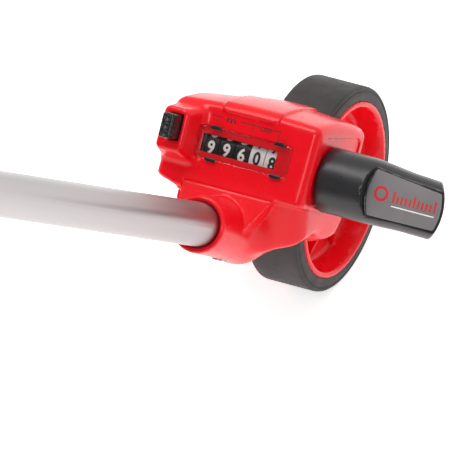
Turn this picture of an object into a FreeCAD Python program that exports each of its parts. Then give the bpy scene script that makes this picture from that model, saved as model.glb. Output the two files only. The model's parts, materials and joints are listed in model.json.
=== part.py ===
"""A compact mechanical measuring wheel, as a parametric FreeCAD document of separate parts.

Every part is drawn in the instrument's own axes: X to the user's right along the wheel axle, Y forward, away
from the user, and Z up on the counter's face, with the origin at the wheel's centre. The pole runs along -Y.
Each part's Placement then tilts the instrument about the axle until the pole rises at pole_angle, and
lifts it until the tyre stands on Z = 0, with the origin at the point of contact.
"""

import FreeCAD, Part
import math
import os

import Sketcher
from FreeCAD import Placement, Rotation, Vector

SIZES = {
    # how it is held
    "pole_angle": 45.0,
    # wheel: a circumference of 0.25 m
    "wheel_radius": 39.8,
    "tyre_width": 22.0,
    "tyre_bed_radius": 34.6,
    "tyre_shoulder": 1.0,
    "rim_width": 23.6,
    "rim_lip_radius": 32.2,
    "dish_radius": 30.0,
    "web_thickness": 3.0,
    "hub_radius": 12.0,
    "hub_bore": 4.0,
    "rib_count": 8.0,
    "rib_thickness": 1.8,
    # shaft and its bushes
    "journal_radius": 3.0,
    "journal_play": 0.05,
    "bush_radius": 5.0,
    "bush_flange": 6.5,
    "hub_screw_start": 4.0,
    "hub_screw_radius": 1.9,
    "hub_screw_head": 3.6,
    # counter: five drums on one shaft
    "counter_reach": 52.6,
    "counter_height": 5.2,
    "drum_radius": 10.2,
    "drum_width": 6.0,
    "drum_pitch": 6.35,
    "first_drum": -22.8,
    "drum_web": 1.6,
    "sleeve_radius": 2.4,
    "counter_shaft": 1.45,
    "counter_play": 0.05,
    "ring_pitch_radius": 8.5,
    "pinion_pitch_radius": 2.55,
    "pinion_width": 1.9,
    "carrier_thickness": 0.6,
    "carrier_radius": 7.4,
    "frame_plate": 1.5,
    "frame_floor": -6.8,
    "frame_floor_thickness": 1.2,
    # gear train from the wheel to the counter
    "gear_module": 0.6,
    "wheel_gear_teeth": 50.0,
    "idler_teeth": 54.0,
    "counter_gear_teeth": 20.0,
    "gear_left": -29.0,
    "gear_width": 2.8,
    "idler_pin_radius": 1.5,
    # counter housing
    "wall": 2.0,
    "housing_left": -38.0,
    "arm_right": 23.0,
    "arm_left": 13.0,
    "slot_left": -12.5,
    "well_radius": 40.6,
    "well_wall": 1.4,
    "face_reach": 65.0,
    "face_wall": 1.8,
    "face_top": 21.0,
    "brow_height": 23.4,
    "roof_height": 27.0,
    "roof_reach": 31.5,
    "case_reach": 41.0,
    "fold_height": -7.0,
    # window
    "window_left": -24.4,
    "window_length": 37.7,
    "window_low": 0.4,
    "window_high": 12.7,
    "window_thickness": 1.6,
    "window_recess": 1.0,
    "aperture_left": -23.5,
    "aperture_length": 30.7,
    "aperture_low": 2.9,
    "aperture_high": 9.7,
    # reset button
    "boss_left": -36.6,
    "boss_right": -26.6,
    "boss_low": 0.5,
    "boss_high": 16.5,
    "boss_reach": 74.0,
    "button_left": -34.0,
    "button_width": 4.9,
    "button_low": 4.7,
    "button_length": 9.5,
    "button_reach": 82.0,
    "button_play": 0.25,
    "reset_travel": 2.5,
    # lower housing and pole collar
    "pole_side": -8.0,
    "pole_drop": -23.1,
    "belly_radius": 12.7,
    "collar_radius": 11.3,
    "collar_mouth_radius": 10.85,
    "collar_reach": 86.0,
    "socket_rear": 44.0,
    "lobe_rear": 47.0,
    "tray_depth": -14.0,
    "shell_screw_floor": -8.6,
    "pole_screw_floor": -34.1,
    "seam_gap": 0.1,
    # pole
    "tube_radius": 8.35,
    "tube_wall": 1.0,
    "tube_start": 47.0,
    "tube_end": 330.0,
    "slide_play": 0.08,
    "middle_end": 352.0,
    "inner_end": 452.0,
    "grip_radius": 11.5,
    # gear case
    "case_half_height": 19.5,
    "case_tail": 19.5,
    "cover_thickness": 2.0,
    # side grip
    "grip_height": 3.9,
    "grip_reach": 46.8,
    "side_grip_radius": 12.45,
    "side_grip_end": 73.8,
    "side_grip_tip_radius": 10.8,
    "grip_taper_start": 41.0,
    "grip_flat": 7.3,
    "grip_droop": 2.4,
    "grip_end_slant": 22.0,
    "label_thickness": 0.4,
    "label_width": 15.2,
}

doc = FreeCAD.newDocument("measuring_wheel")
sheet = doc.addObject("Spreadsheet::Sheet", "Sizes")
nodes = []


class Size:
    """A length that carries both its number and the sheet formula it comes from."""

    def __init__(self, value, text):
        self.value = float(value)
        self.text = text

    def __add__(self, other):
        other = size(other)
        return Size(self.value + other.value, f"({self.text} + {other.text})")

    def __sub__(self, other):
        other = size(other)
        return Size(self.value - other.value, f"({self.text} - {other.text})")

    def __mul__(self, other):
        other = size(other)
        return Size(self.value * other.value, f"({self.text} * {other.text})")

    def __truediv__(self, other):
        other = size(other)
        return Size(self.value / other.value, f"({self.text} / {other.text})")

    def __neg__(self):
        return Size(-self.value, f"(0 - {self.text})")

    def __radd__(self, other):
        return size(other) + self

    def __rsub__(self, other):
        return size(other) - self

    def __rmul__(self, other):
        return size(other) * self


def size(thing):
    """A Size from a Size or a plain number."""
    return thing if isinstance(thing, Size) else Size(thing, repr(float(thing)))


def s(alias):
    """The sheet's size of that name."""
    return Size(SIZES[alias], f"Sizes.{alias}")


def fill_sheet():
    """Writes every driving dimension into the spreadsheet under its alias."""
    for row, (alias, number) in enumerate(SIZES.items(), 1):
        sheet.set(f"A{row}", alias)
        sheet.set(f"B{row}", repr(number))
        sheet.setAlias(f"B{row}", alias)
    doc.recompute()


# ---------------------------------------------------------------- drawing helpers


def bind(thing, **sizes):
    """Binds properties of an object to the sheet."""
    for name, value in sizes.items():
        thing.setExpression(name, size(value).text)


def move(thing, x, y, z, turn=None):
    """Places an object at a point bound to the sheet, turned by an optional Rotation."""
    x, y, z = size(x), size(y), size(z)
    thing.Placement = Placement(Vector(x.value, y.value, z.value), turn or Rotation())
    for axis, value in zip("xyz", (x, y, z)):
        thing.setExpression(f"Placement.Base.{axis}", value.text)


ALONG = {
    "X": Rotation(Vector(0, 1, 0), 90),
    "Y": Rotation(Vector(1, 0, 0), -90),
    "Z": Rotation(),
}


def rod(name, radius, start, length, axis="X"):
    """A solid cylinder from a start point along an axis."""
    piece = doc.addObject("Part::Cylinder", name)
    bind(piece, Radius=radius, Height=length)
    move(piece, *start, ALONG[axis])
    return piece


def cone(name, first_radius, last_radius, start, length, axis="X"):
    """A solid cone frustum from a start point along an axis."""
    piece = doc.addObject("Part::Cone", name)
    bind(piece, Radius1=first_radius, Radius2=last_radius, Height=length)
    move(piece, *start, ALONG[axis])
    return piece


def block(name, low, high):
    """A box between two opposite corners."""
    piece = doc.addObject("Part::Box", name)
    spans = [size(b) - size(a) for a, b in zip(low, high)]
    bind(piece, Length=spans[0], Width=spans[1], Height=spans[2])
    move(piece, *low)
    return piece


def join(name, *pieces):
    """The union of some pieces."""
    union = doc.addObject("Part::MultiFuse", name)
    union.Shapes = list(pieces)
    union.Refine = True
    return union


def cut(name, base, *tools):
    """A base with some tools taken away."""
    result = doc.addObject("Part::Cut", name)
    result.Base = base
    result.Tool = tools[0] if len(tools) == 1 else join(f"{name}_tools", *tools)
    result.Refine = True
    return result


def common(name, first, second):
    """What two pieces share."""
    result = doc.addObject("Part::Common", name)
    result.Base = first
    result.Tool = second
    return result


def sketch_of(body, plane_role, points, offset=0.0):
    """A closed outline whose every corner is bound to the sheet, on one of the body's origin planes."""
    plane = next(f for f in body.Origin.OriginFeatures if f.Role == plane_role)
    sketch = body.newObject("Sketcher::SketchObject", f"{body.Name}_outline")
    sketch.AttachmentSupport = (plane, [""])
    sketch.MapMode = "FlatFace"
    sketch.setExpression("AttachmentOffset.Base.z", size(offset).text)
    corners = [(size(u), size(v)) for u, v in points]
    flat = [Vector(u.value, v.value, 0) for u, v in corners]
    last = len(flat)
    for i in range(last):
        sketch.addGeometry(Part.LineSegment(flat[i], flat[(i + 1) % last]), False)
    for i in range(last):
        sketch.addConstraint(Sketcher.Constraint("Coincident", i, 2, (i + 1) % last, 1))
    for i, corner in enumerate(corners):
        for kind, value in zip(("DistanceX", "DistanceY"), corner):
            index = sketch.addConstraint(Sketcher.Constraint(kind, -1, 1, i, 1, value.value))
            sketch.setExpression(f"Constraints[{index}]", value.text)
    return sketch


def turned(name, points, axis="X"):
    """A body made by turning a closed outline of (along, radius) corners about its axis."""
    body = doc.addObject("PartDesign::Body", name)
    along_x = axis == "X"
    sketch = sketch_of(body, "XY_Plane", points if along_x else [(r, a) for a, r in points])
    turn = body.newObject("PartDesign::Revolution", f"{name}_turn")
    turn.Profile = sketch
    turn.ReferenceAxis = (sketch, ["H_Axis" if along_x else "V_Axis"])
    turn.Angle = 360
    return body


def extruded(name, plane_role, points, start, length):
    """A body padded from a closed outline. YZ_Plane pads along +X and XZ_Plane along -Y, from start."""
    body = doc.addObject("PartDesign::Body", name)
    sketch = sketch_of(body, plane_role, points, start)
    pad = body.newObject("PartDesign::Pad", f"{name}_pad")
    pad.Profile = sketch
    bind(pad, Length=length)
    return body


def sleeve(name, inner, outer, start, length, axis="X"):
    """A plain tube about one of the instrument's axes through a start point."""
    outside = rod(f"{name}_outside", outer, start, length, axis)
    return cut(name, outside, bore(f"{name}_bore", inner, start, length, axis))


def bore(name, radius, start, length, axis="X"):
    """A cylinder to cut with, one millimetre longer than asked at each end."""
    x, y, z = start
    shifted = {"X": (x - 1, y, z), "Y": (x, y - 1, z), "Z": (x, y, z - 1)}[axis]
    return rod(name, radius, shifted, length + 2, axis)


def node(piece, label, x=0.0, y=0.0, z=0.0):
    """Names a finished sub-part and tilts it into the standing frame from a point of the instrument."""
    x, y, z = size(x), size(y), size(z)
    piece.Label = label
    tilt = math.radians(SIZES["pole_angle"])
    standing_y = y.value * math.cos(tilt) + z.value * math.sin(tilt)
    standing_z = z.value * math.cos(tilt) - y.value * math.sin(tilt) + SIZES["wheel_radius"]
    turn = Rotation(Vector(-1, 0, 0), SIZES["pole_angle"])
    piece.Placement = Placement(Vector(x.value, standing_y, standing_z), turn)
    cosine, sine = "cos(Sizes.pole_angle)", "sin(Sizes.pole_angle)"
    piece.setExpression("Placement.Base.x", x.text)
    piece.setExpression("Placement.Base.y", f"{y.text} * {cosine} + {z.text} * {sine}")
    piece.setExpression("Placement.Base.z", f"{z.text} * {cosine} - {y.text} * {sine} + Sizes.wheel_radius")
    piece.setExpression("Placement.Rotation.Angle", "Sizes.pole_angle")
    nodes.append(piece)
    return piece


# ---------------------------------------------------------------- gears


def involute(angle):
    return math.tan(angle) - angle


def tooth_outline(teeth, module, phase, addendum=0.95, dedendum=1.2, backlash=0.1, inward=False):
    """Corners of a spur gear's outline in (Y, Z), with a tooth centred at phase, a direction from +Y."""
    pressure = math.radians(20)
    pitch_radius = teeth * module / 2
    base_radius = pitch_radius * math.cos(pressure)
    outer = pitch_radius + module * (dedendum if inward else addendum)
    root = pitch_radius - module * (addendum if inward else dedendum)
    half_pitch = math.pi / (2 * teeth)
    thickness = half_pitch + (backlash if inward else -backlash) / (2 * pitch_radius)
    corners = []
    radii = [root, max(root + 0.01, base_radius), pitch_radius, outer]
    for tooth in range(teeth):
        centre = phase + tooth * 2 * math.pi / teeth
        flank = []
        for radius in radii:
            roll = involute(math.acos(min(1.0, base_radius / radius)))
            flank.append((radius, thickness + involute(pressure) - roll))
        corners += [(r, centre - a) for r, a in flank]
        corners += [(r, centre + a) for r, a in reversed(flank)]
    return [Vector(0, r * math.cos(a), r * math.sin(a)) for r, a in corners]


def prism_of(corners, start, width):
    """A solid padded along X from an outline in the YZ plane."""
    face = Part.Face(Part.makePolygon([*corners, corners[0]]))
    face.translate(Vector(start, 0, 0))
    return face.extrude(Vector(width, 0, 0))


def rod_shape(radius, start, width):
    return Part.makeCylinder(radius, width, Vector(start, 0, 0), Vector(1, 0, 0))


def shaped(name, shape):
    """A sub-part whose Shape comes from Part's own functions."""
    piece = doc.addObject("Part::Feature", name)
    piece.Shape = shape
    return piece


def idler_place():
    """Where the idler meshes with both other gears: its (Y, Z), below the line between their centres."""
    module = SIZES["gear_module"]
    first = (SIZES["wheel_gear_teeth"] + SIZES["idler_teeth"]) * module / 2
    second = (SIZES["counter_gear_teeth"] + SIZES["idler_teeth"]) * module / 2
    reach, height = SIZES["counter_reach"], SIZES["counter_height"]
    apart = math.hypot(reach, height)
    along = (first**2 - second**2 + apart**2) / (2 * apart)
    aside = math.sqrt(first**2 - along**2)
    unit = (-reach / apart, height / apart)
    return along * unit[0] - aside * unit[1], along * unit[1] + aside * unit[0]


def mesh_phase(own_teeth, toward, other_teeth, other_phase):
    """The phase that puts a gap of this gear on the line of centres where the other gear has a tooth."""
    seen = toward + math.pi
    offset = (seen - other_phase) * other_teeth / (2 * math.pi)
    return toward + math.pi / own_teeth + offset * 2 * math.pi / own_teeth


def gear_train():
    """The wheel gear, the idler and the counter gear, in mesh at rest."""
    module, left, width = SIZES["gear_module"], SIZES["gear_left"], SIZES["gear_width"]
    wheel_teeth = int(SIZES["wheel_gear_teeth"])
    idler_teeth = int(SIZES["idler_teeth"])
    counter_teeth = int(SIZES["counter_gear_teeth"])
    idler_y, idler_z = idler_place()
    counter_y, counter_z = -SIZES["counter_reach"], SIZES["counter_height"]
    to_wheel = math.atan2(-idler_z, -idler_y)
    idler_phase = mesh_phase(idler_teeth, to_wheel, wheel_teeth, 0.0)
    to_idler = math.atan2(idler_z - counter_z, idler_y - counter_y)
    counter_phase = mesh_phase(counter_teeth, to_idler, idler_teeth, idler_phase)

    boss = rod_shape(6.0, left, width + 3.0)
    wheel_gear = prism_of(tooth_outline(wheel_teeth, module, 0.0), left, width).fuse(boss)
    wheel_gear = wheel_gear.cut(rod_shape(SIZES["journal_radius"], left - 1, width + 6))
    node(shaped("WheelGear", wheel_gear), "wheel_gear")

    pin_hole = rod_shape(SIZES["idler_pin_radius"] + SIZES["journal_play"], left - 2, width + 4)
    idler = prism_of(tooth_outline(idler_teeth, module, idler_phase), left, width)
    idler = idler.fuse(rod_shape(4.0, left - 1, width + 1)).cut(pin_hole)
    node(shaped("IdlerGear", idler), "idler_gear", 0, idler_y, idler_z)

    counter_gear = prism_of(tooth_outline(counter_teeth, module, counter_phase), left, width)
    counter_gear = counter_gear.cut(rod_shape(SIZES["counter_shaft"], left - 1, width + 2))
    node(shaped("CounterGear", counter_gear), "counter_gear", 0, counter_y, counter_z)

    pin_start, head_start = size(-37.0), s("gear_left") + s("gear_width") + 0.2
    pin = join(
        "IdlerPin",
        rod("idler_pin_stem", s("idler_pin_radius"), (pin_start, 0, 0), head_start + 0.7 - pin_start),
        rod("idler_pin_head", 2.6, (head_start, 0, 0), 0.7),
    )
    node(pin, "idler_pin", 0, idler_y, idler_z)


# ---------------------------------------------------------------- wheel


def tyre():
    """A plain rubber band with small shoulders, stretched over the rim."""
    half = s("tyre_width") / 2
    bed, tread, shoulder = s("tyre_bed_radius"), s("wheel_radius"), s("tyre_shoulder")
    corners = [
        (-half, bed),
        (half, bed),
        (half, tread - shoulder),
        (half - shoulder, tread),
        (shoulder - half, tread),
        (-half, tread - shoulder),
    ]
    node(turned("Tyre", corners), "tyre")


def wheel_rim():
    """A deep-dished rim on a central web, with a hub boss and gusset ribs on both faces."""
    half, lip, dish = s("rim_width") / 2, s("rim_lip_radius"), s("dish_radius")
    web, hub, hole = s("web_thickness") / 2, s("hub_radius"), s("hub_bore")
    seat, bed = s("tyre_width") / 2, s("tyre_bed_radius")
    corners = [
        (-10.5, hole),
        (9.0, hole),
        (9.0, hub - 1.0),
        (8.0, hub),
        (web, hub),
        (web, dish),
        (half, lip),
        (half, bed + 0.3),
        (seat + 0.05, bed + 0.3),
        (seat, bed),
        (-seat, bed),
        (-seat - 0.05, bed + 0.3),
        (-half, bed + 0.3),
        (-half, lip),
        (-web, dish),
        (-web, hub),
        (-9.5, hub),
        (-10.5, hub - 1.0),
    ]
    body = turned("WheelRim", corners)
    rib = body.newObject("PartDesign::Pad", "rib_pad")
    profile = [(web - 0.5, hub - 0.5), (8.0, hub - 0.5), (3.0, dish + 0.6), (web - 0.5, dish + 0.6)]
    rib.Profile = sketch_of(body, "XY_Plane", profile)
    bind(rib, Length=s("rib_thickness"))
    rib.Midplane = True
    doc.recompute()
    pattern = body.newObject("PartDesign::PolarPattern", "rib_pattern")
    pattern.Originals = [rib]
    pattern.Axis = (next(f for f in body.Origin.OriginFeatures if f.Role == "X_Axis"), [""])
    pattern.Angle = 360
    bind(pattern, Occurrences=s("rib_count"))
    body.Tip = pattern
    node(body, "wheel_rim")


def wheel_shaft():
    """The axle: a wheel seat with a flange, a long journal through both bushes, and the gear's seat."""
    journal, seat = s("journal_radius"), s("hub_bore")
    tapped, depth = s("hub_screw_radius"), s("hub_screw_start")
    corners = [
        (-35.8, 0.0),
        (depth - 0.5, 0.0),
        (depth - 0.5, tapped),
        (9.0, tapped),
        (9.0, seat),
        (-10.5, seat),
        (-10.5, seat + 0.8),
        (-11.2, seat + 0.8),
        (-11.2, journal),
        (-35.8, journal),
    ]
    node(turned("WheelShaft", corners), "wheel_shaft")


def hub_parts():
    """The washer and the domed screw cap that hold the wheel on its shaft."""
    washer = sleeve("HubWasher", s("hub_screw_radius") + 0.1, 7.0, (9.0, 0, 0), size(0.8))
    node(washer, "hub_washer")
    start, radius, head = s("hub_screw_start"), s("hub_screw_radius"), s("hub_screw_head")
    corners = [
        (start, 0.0),
        (11.6, 0.0),
        (11.6, 2.0),
        (10.9, head),
        (9.8, head),
        (9.8, radius),
        (start, radius),
    ]
    node(turned("HubScrew", corners), "hub_screw")


def bushes():
    """Two flanged plain bearings that carry the wheel shaft in the gear case and its cover."""
    inside, outside, flange = s("journal_radius") + s("journal_play"), s("bush_radius"), s("bush_flange")
    near = s("slot_left")
    wheel_side = [
        (near + 0.3, inside),
        (near + 0.3, outside),
        (near - 2.0, outside),
        (near - 2.0, flange),
        (near - 3.5, flange),
        (near - 3.5, inside),
    ]
    node(turned("InnerBush", wheel_side), "inner_bush")
    far = s("housing_left") + s("cover_thickness")
    cover_side = [(far, inside), (far, outside), (far + 2.2, outside), (far + 2.2, inside)]
    node(turned("OuterBush", cover_side), "outer_bush")


# ---------------------------------------------------------------- counter


DRUM_NAMES = ["hundred_metre_drum", "ten_metre_drum", "metre_drum", "decimetre_drum", "centimetre_drum"]


def drum_left(place):
    """The left face of one drum, counted from the left."""
    return s("first_drum") + s("drum_pitch") * place


def drum_shape(left, shaft_radius, phase, has_ring):
    """A hollow drum open on its right, with an inner ring of twenty teeth if a pinion drives it."""
    width, web, radius = SIZES["drum_width"], SIZES["drum_web"], SIZES["drum_radius"]
    drum = rod_shape(radius, left, width).cut(rod_shape(shaft_radius, left - 1, width + 2))
    if not has_ring:
        return drum.cut(rod_shape(radius - 0.9, left + 3.0, width).cut(rod_shape(4.0, left, 2 * width)))
    hollow = tooth_outline(20, SIZES["ring_pitch_radius"] / 10, phase, 0.6, 0.85, 0.25, inward=True)
    return drum.cut(prism_of(hollow, left + web, width)).cut(rod_shape(radius - 0.9, left + 4.4, width))


def drums():
    """Five number drums. The last one is fixed to the shaft and the others turn on the fixed sleeve."""
    y, z = -SIZES["counter_reach"], SIZES["counter_height"]
    free_bore = SIZES["sleeve_radius"] + SIZES["counter_play"]
    for place, name in enumerate(DRUM_NAMES):
        is_last = place == len(DRUM_NAMES) - 1
        hole = SIZES["counter_shaft"] if is_last else free_bore
        shape = drum_shape(drum_left(place).value, hole, 0.0, not is_last)
        node(shaped(name, shape), name, 0, y, z)


PINION_TEETH = 6


def pinion_offset():
    """How far each transfer pinion's axis stands above the drums' axis."""
    return SIZES["ring_pitch_radius"] - SIZES["pinion_pitch_radius"]


def pinions():
    """Four transfer pinions inside the drums, each in mesh with its drum's inner ring."""
    module = 2 * SIZES["pinion_pitch_radius"] / PINION_TEETH
    up = math.pi / 2
    outline = tooth_outline(PINION_TEETH, module, up, 0.6, 0.75, 0.3)
    for place in range(len(DRUM_NAMES) - 1):
        left = drum_left(place).value + 2.3
        pinion = prism_of(outline, left, SIZES["pinion_width"]).cut(rod_shape(0.7, left - 1, 4.0))
        name = f"transfer_pinion_{place + 1}"
        height = SIZES["counter_height"] + pinion_offset()
        node(shaped(name, pinion), name, 0, -SIZES["counter_reach"], height)


def carrier_sleeve():
    """The fixed sleeve that the drums turn on, with a carrier disc and a pinion pin for each transfer."""
    inside = SIZES["counter_shaft"] + SIZES["counter_play"]
    start = SIZES["first_drum"] - SIZES["frame_plate"] - 0.4
    end = drum_left(len(DRUM_NAMES) - 1).value - 0.25
    whole = rod_shape(SIZES["sleeve_radius"], start, end - start)
    offset = Vector(0, 0, pinion_offset())
    for place in range(len(DRUM_NAMES) - 1):
        left = drum_left(place).value
        disc = rod_shape(SIZES["carrier_radius"], left + 5.0, SIZES["carrier_thickness"])
        pin = rod_shape(0.65, left + 2.1, 3.1)
        pin.translate(offset)
        whole = whole.fuse(disc).fuse(pin)
    whole = whole.cut(rod_shape(inside, start - 1, end - start + 2)).removeSplitter()
    reach, height = SIZES["counter_reach"], SIZES["counter_height"]
    node(shaped("CarrierSleeve", whole), "carrier_sleeve", 0, -reach, height)


def counter_shaft():
    """The driven shaft through the sleeve, from the counter gear to the last drum."""
    start, end = s("gear_left") - 0.4, drum_left(len(DRUM_NAMES)) + 2.4
    shaft = group("CounterShaft", [rod("shaft_rod", s("counter_shaft"), (start, 0, 0), end - start)])
    node(shaft, "counter_shaft", 0, -s("counter_reach"), s("counter_height"))


def counter_frame():
    """A bent plate: two ears that carry the sleeve and the shaft, on a floor below the drums."""
    plate = s("frame_plate")
    left, right = s("first_drum") - 0.4, drum_left(len(DRUM_NAMES)) + 0.15
    front, rear = s("counter_reach") + 7.5, s("counter_reach") - 7.0
    low, top = s("frame_floor"), s("counter_height") + 6.0
    floor_top = low + s("frame_floor_thickness")
    centre = (-s("counter_reach"), s("counter_height"))
    body = join(
        "counter_frame_plates",
        block("counter_frame_floor", (left - plate, -front, low), (right + plate, -rear, floor_top)),
        block("counter_frame_left", (left - plate, -front, low), (left, -rear, top)),
        block("counter_frame_right", (right, -front, low), (right + plate, -rear, top)),
    )
    frame = cut(
        "CounterFrame",
        body,
        bore("sleeve_hole", s("sleeve_radius"), (left - plate, *centre), plate),
        bore("shaft_hole", s("counter_shaft") + s("counter_play"), (right, *centre), plate),
        *[
            rod(f"frame_hole_{i}", 1.2, (x, -y, low - 1), 4.0, "Z")
            for i, (x, y) in enumerate(FRAME_SCREW_PLACES)
        ],
    )
    node(frame, "counter_frame")


# ---------------------------------------------------------------- housing


def roof_corners(rear, low):
    """The side outline of the counter housing, from its lower front edge round to a rear wall."""
    return [
        (-s("face_reach"), s("fold_height")),
        (-s("face_reach"), s("face_top")),
        (2.5 - s("face_reach"), s("brow_height")),
        (-46.0, s("roof_height") - 0.8),
        (-rear, s("roof_height")),
        (-rear, low),
    ]


def arm_corners():
    """The side outline of the arm that guards the wheel's right side, with the notch in its lower edge."""
    return [
        (-s("face_reach"), s("fold_height")),
        (-s("face_reach"), s("face_top")),
        (2.5 - s("face_reach"), s("brow_height")),
        (-46.0, s("roof_height") - 0.9),
        (-25.5, s("roof_height") - 1.6),
        (-22.0, s("roof_height") - 4.8),
        (-21.5, -10.4),
        (-24.1, -15.7),
        (-28.8, -17.0),
        (-38.8, -15.9),
        (-43.3, -16.3),
        (-47.3, -18.4),
        (-56.5, -22.8),
    ]


def inside_corners():
    """The side outline of the space for the counter, inside the face and the roof."""
    wall, face = s("wall"), s("face_wall")
    return [
        (face - s("face_reach"), s("fold_height") - 1.0),
        (face - s("face_reach"), s("face_top") - wall + 0.5),
        (2.5 + wall - s("face_reach"), s("brow_height") - wall),
        (-46.0, s("roof_height") - 0.9 - wall),
        (-20.0, s("roof_height") - 0.4 - wall),
        (-20.0, s("fold_height") - 1.0),
    ]


def arm_space_corners():
    """The side outline of the hollow in the arm's lower lobe."""
    return [
        (-62.0, s("fold_height") + 1.0),
        (-62.0, s("fold_height") - 2.0),
        (-55.6, -19.8),
        (-48.0, -16.0),
        (-44.0, -14.2),
        (-38.0, -13.9),
        (-29.0, -14.8),
        (-25.6, -14.0),
        (-23.8, -10.0),
        (-23.8, s("fold_height") + 1.0),
    ]


def counter_housing():
    """The upper shell: face, roof, left wall, the wall round the wheel, and the right arm."""
    left, slot, arm, right = s("housing_left"), s("slot_left"), s("arm_left"), s("arm_right")
    reach, wall = s("face_reach"), s("wall")
    beside_case = roof_corners(s("case_reach"), s("fold_height"))
    over_wheel = roof_corners(s("roof_reach"), s("fold_height"))
    outside = join(
        "counter_housing_outside",
        extruded("housing_left_part", "YZ_Plane", beside_case, left, slot - left),
        extruded("housing_middle", "YZ_Plane", over_wheel, slot, arm - slot),
        extruded("housing_arm", "YZ_Plane", arm_corners(), arm, right - arm),
        block(
            "button_boss",
            (s("boss_left"), -s("boss_reach"), s("boss_low")),
            (s("boss_right"), -reach + 1, s("boss_high")),
        ),
    )
    well = rod("wheel_well", s("well_radius"), (slot, 0, 0), arm - slot)
    well_wall = rod("well_wall", s("well_radius") + s("well_wall"), (slot - 2.0, 0, 0), arm - slot + 4.0)
    space = cut(
        "counter_space",
        extruded("counter_space_block", "YZ_Plane", inside_corners(), left + wall, right - left - 2 * wall),
        well_wall,
        block("left_of_well", (left, -24.0, -40.0), (slot - 1.9, 0, 40.0)),
    )
    arm_space = extruded("arm_space", "YZ_Plane", arm_space_corners(), arm + wall, right - arm - 2 * wall)
    play = s("button_play")
    button_right = s("button_left") + s("button_width")
    button_high = s("button_low") + s("button_length")
    window_right = s("window_left") + s("window_length")
    shell = cut(
        "counter_housing_shell",
        outside,
        well,
        space,
        arm_space,
        block(
            "aperture",
            (s("aperture_left"), -reach - 1, s("aperture_low")),
            (s("aperture_left") + s("aperture_length"), -reach + 5, s("aperture_high")),
        ),
        block(
            "window_seat",
            (s("window_left") - 0.1, -reach - 1, s("window_low") - 0.1),
            (window_right + 0.1, -reach + s("window_recess"), s("window_high") + 0.1),
        ),
        block(
            "button_way",
            (s("button_left") - play, -s("button_reach"), s("button_low") - play),
            (button_right + play, -reach + 5, button_high + play),
        ),
        bore("grip_screw_hole", 2.6, (right - s("wall"), -s("grip_reach"), s("grip_height")), s("wall")),
    )
    seat = block("spring_seat", (left + 1, -50.5, 5.5), (-30.5, -48.5, 13.5))
    bosses = [
        rod(f"screw_boss_{i}", 2.8, (x, -y, s("fold_height") + s("seam_gap")), 8.0, "Z")
        for i, (x, y) in enumerate(SCREW_PLACES)
    ]
    solid = join("counter_housing_solid", shell, seat, *bosses)
    holes = [bore(f"screw_bore_{i}", 1.2, (x, -y, -9.0), 8.0, "Z") for i, (x, y) in enumerate(SCREW_PLACES)]
    node(cut("CounterHousing", solid, *holes), "counter_housing")


# where screws stand in the lower housing, across and toward the user: first those into the upper shell,
# then those into the counter's frame
SCREW_PLACES = [(-33.4, 60.0), (-33.4, 44.4)]
FRAME_SCREW_PLACES = [(-21.0, 57.4), (6.0, 57.4)]
ALL_SCREW_PLACES = SCREW_PLACES + FRAME_SCREW_PLACES


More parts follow.
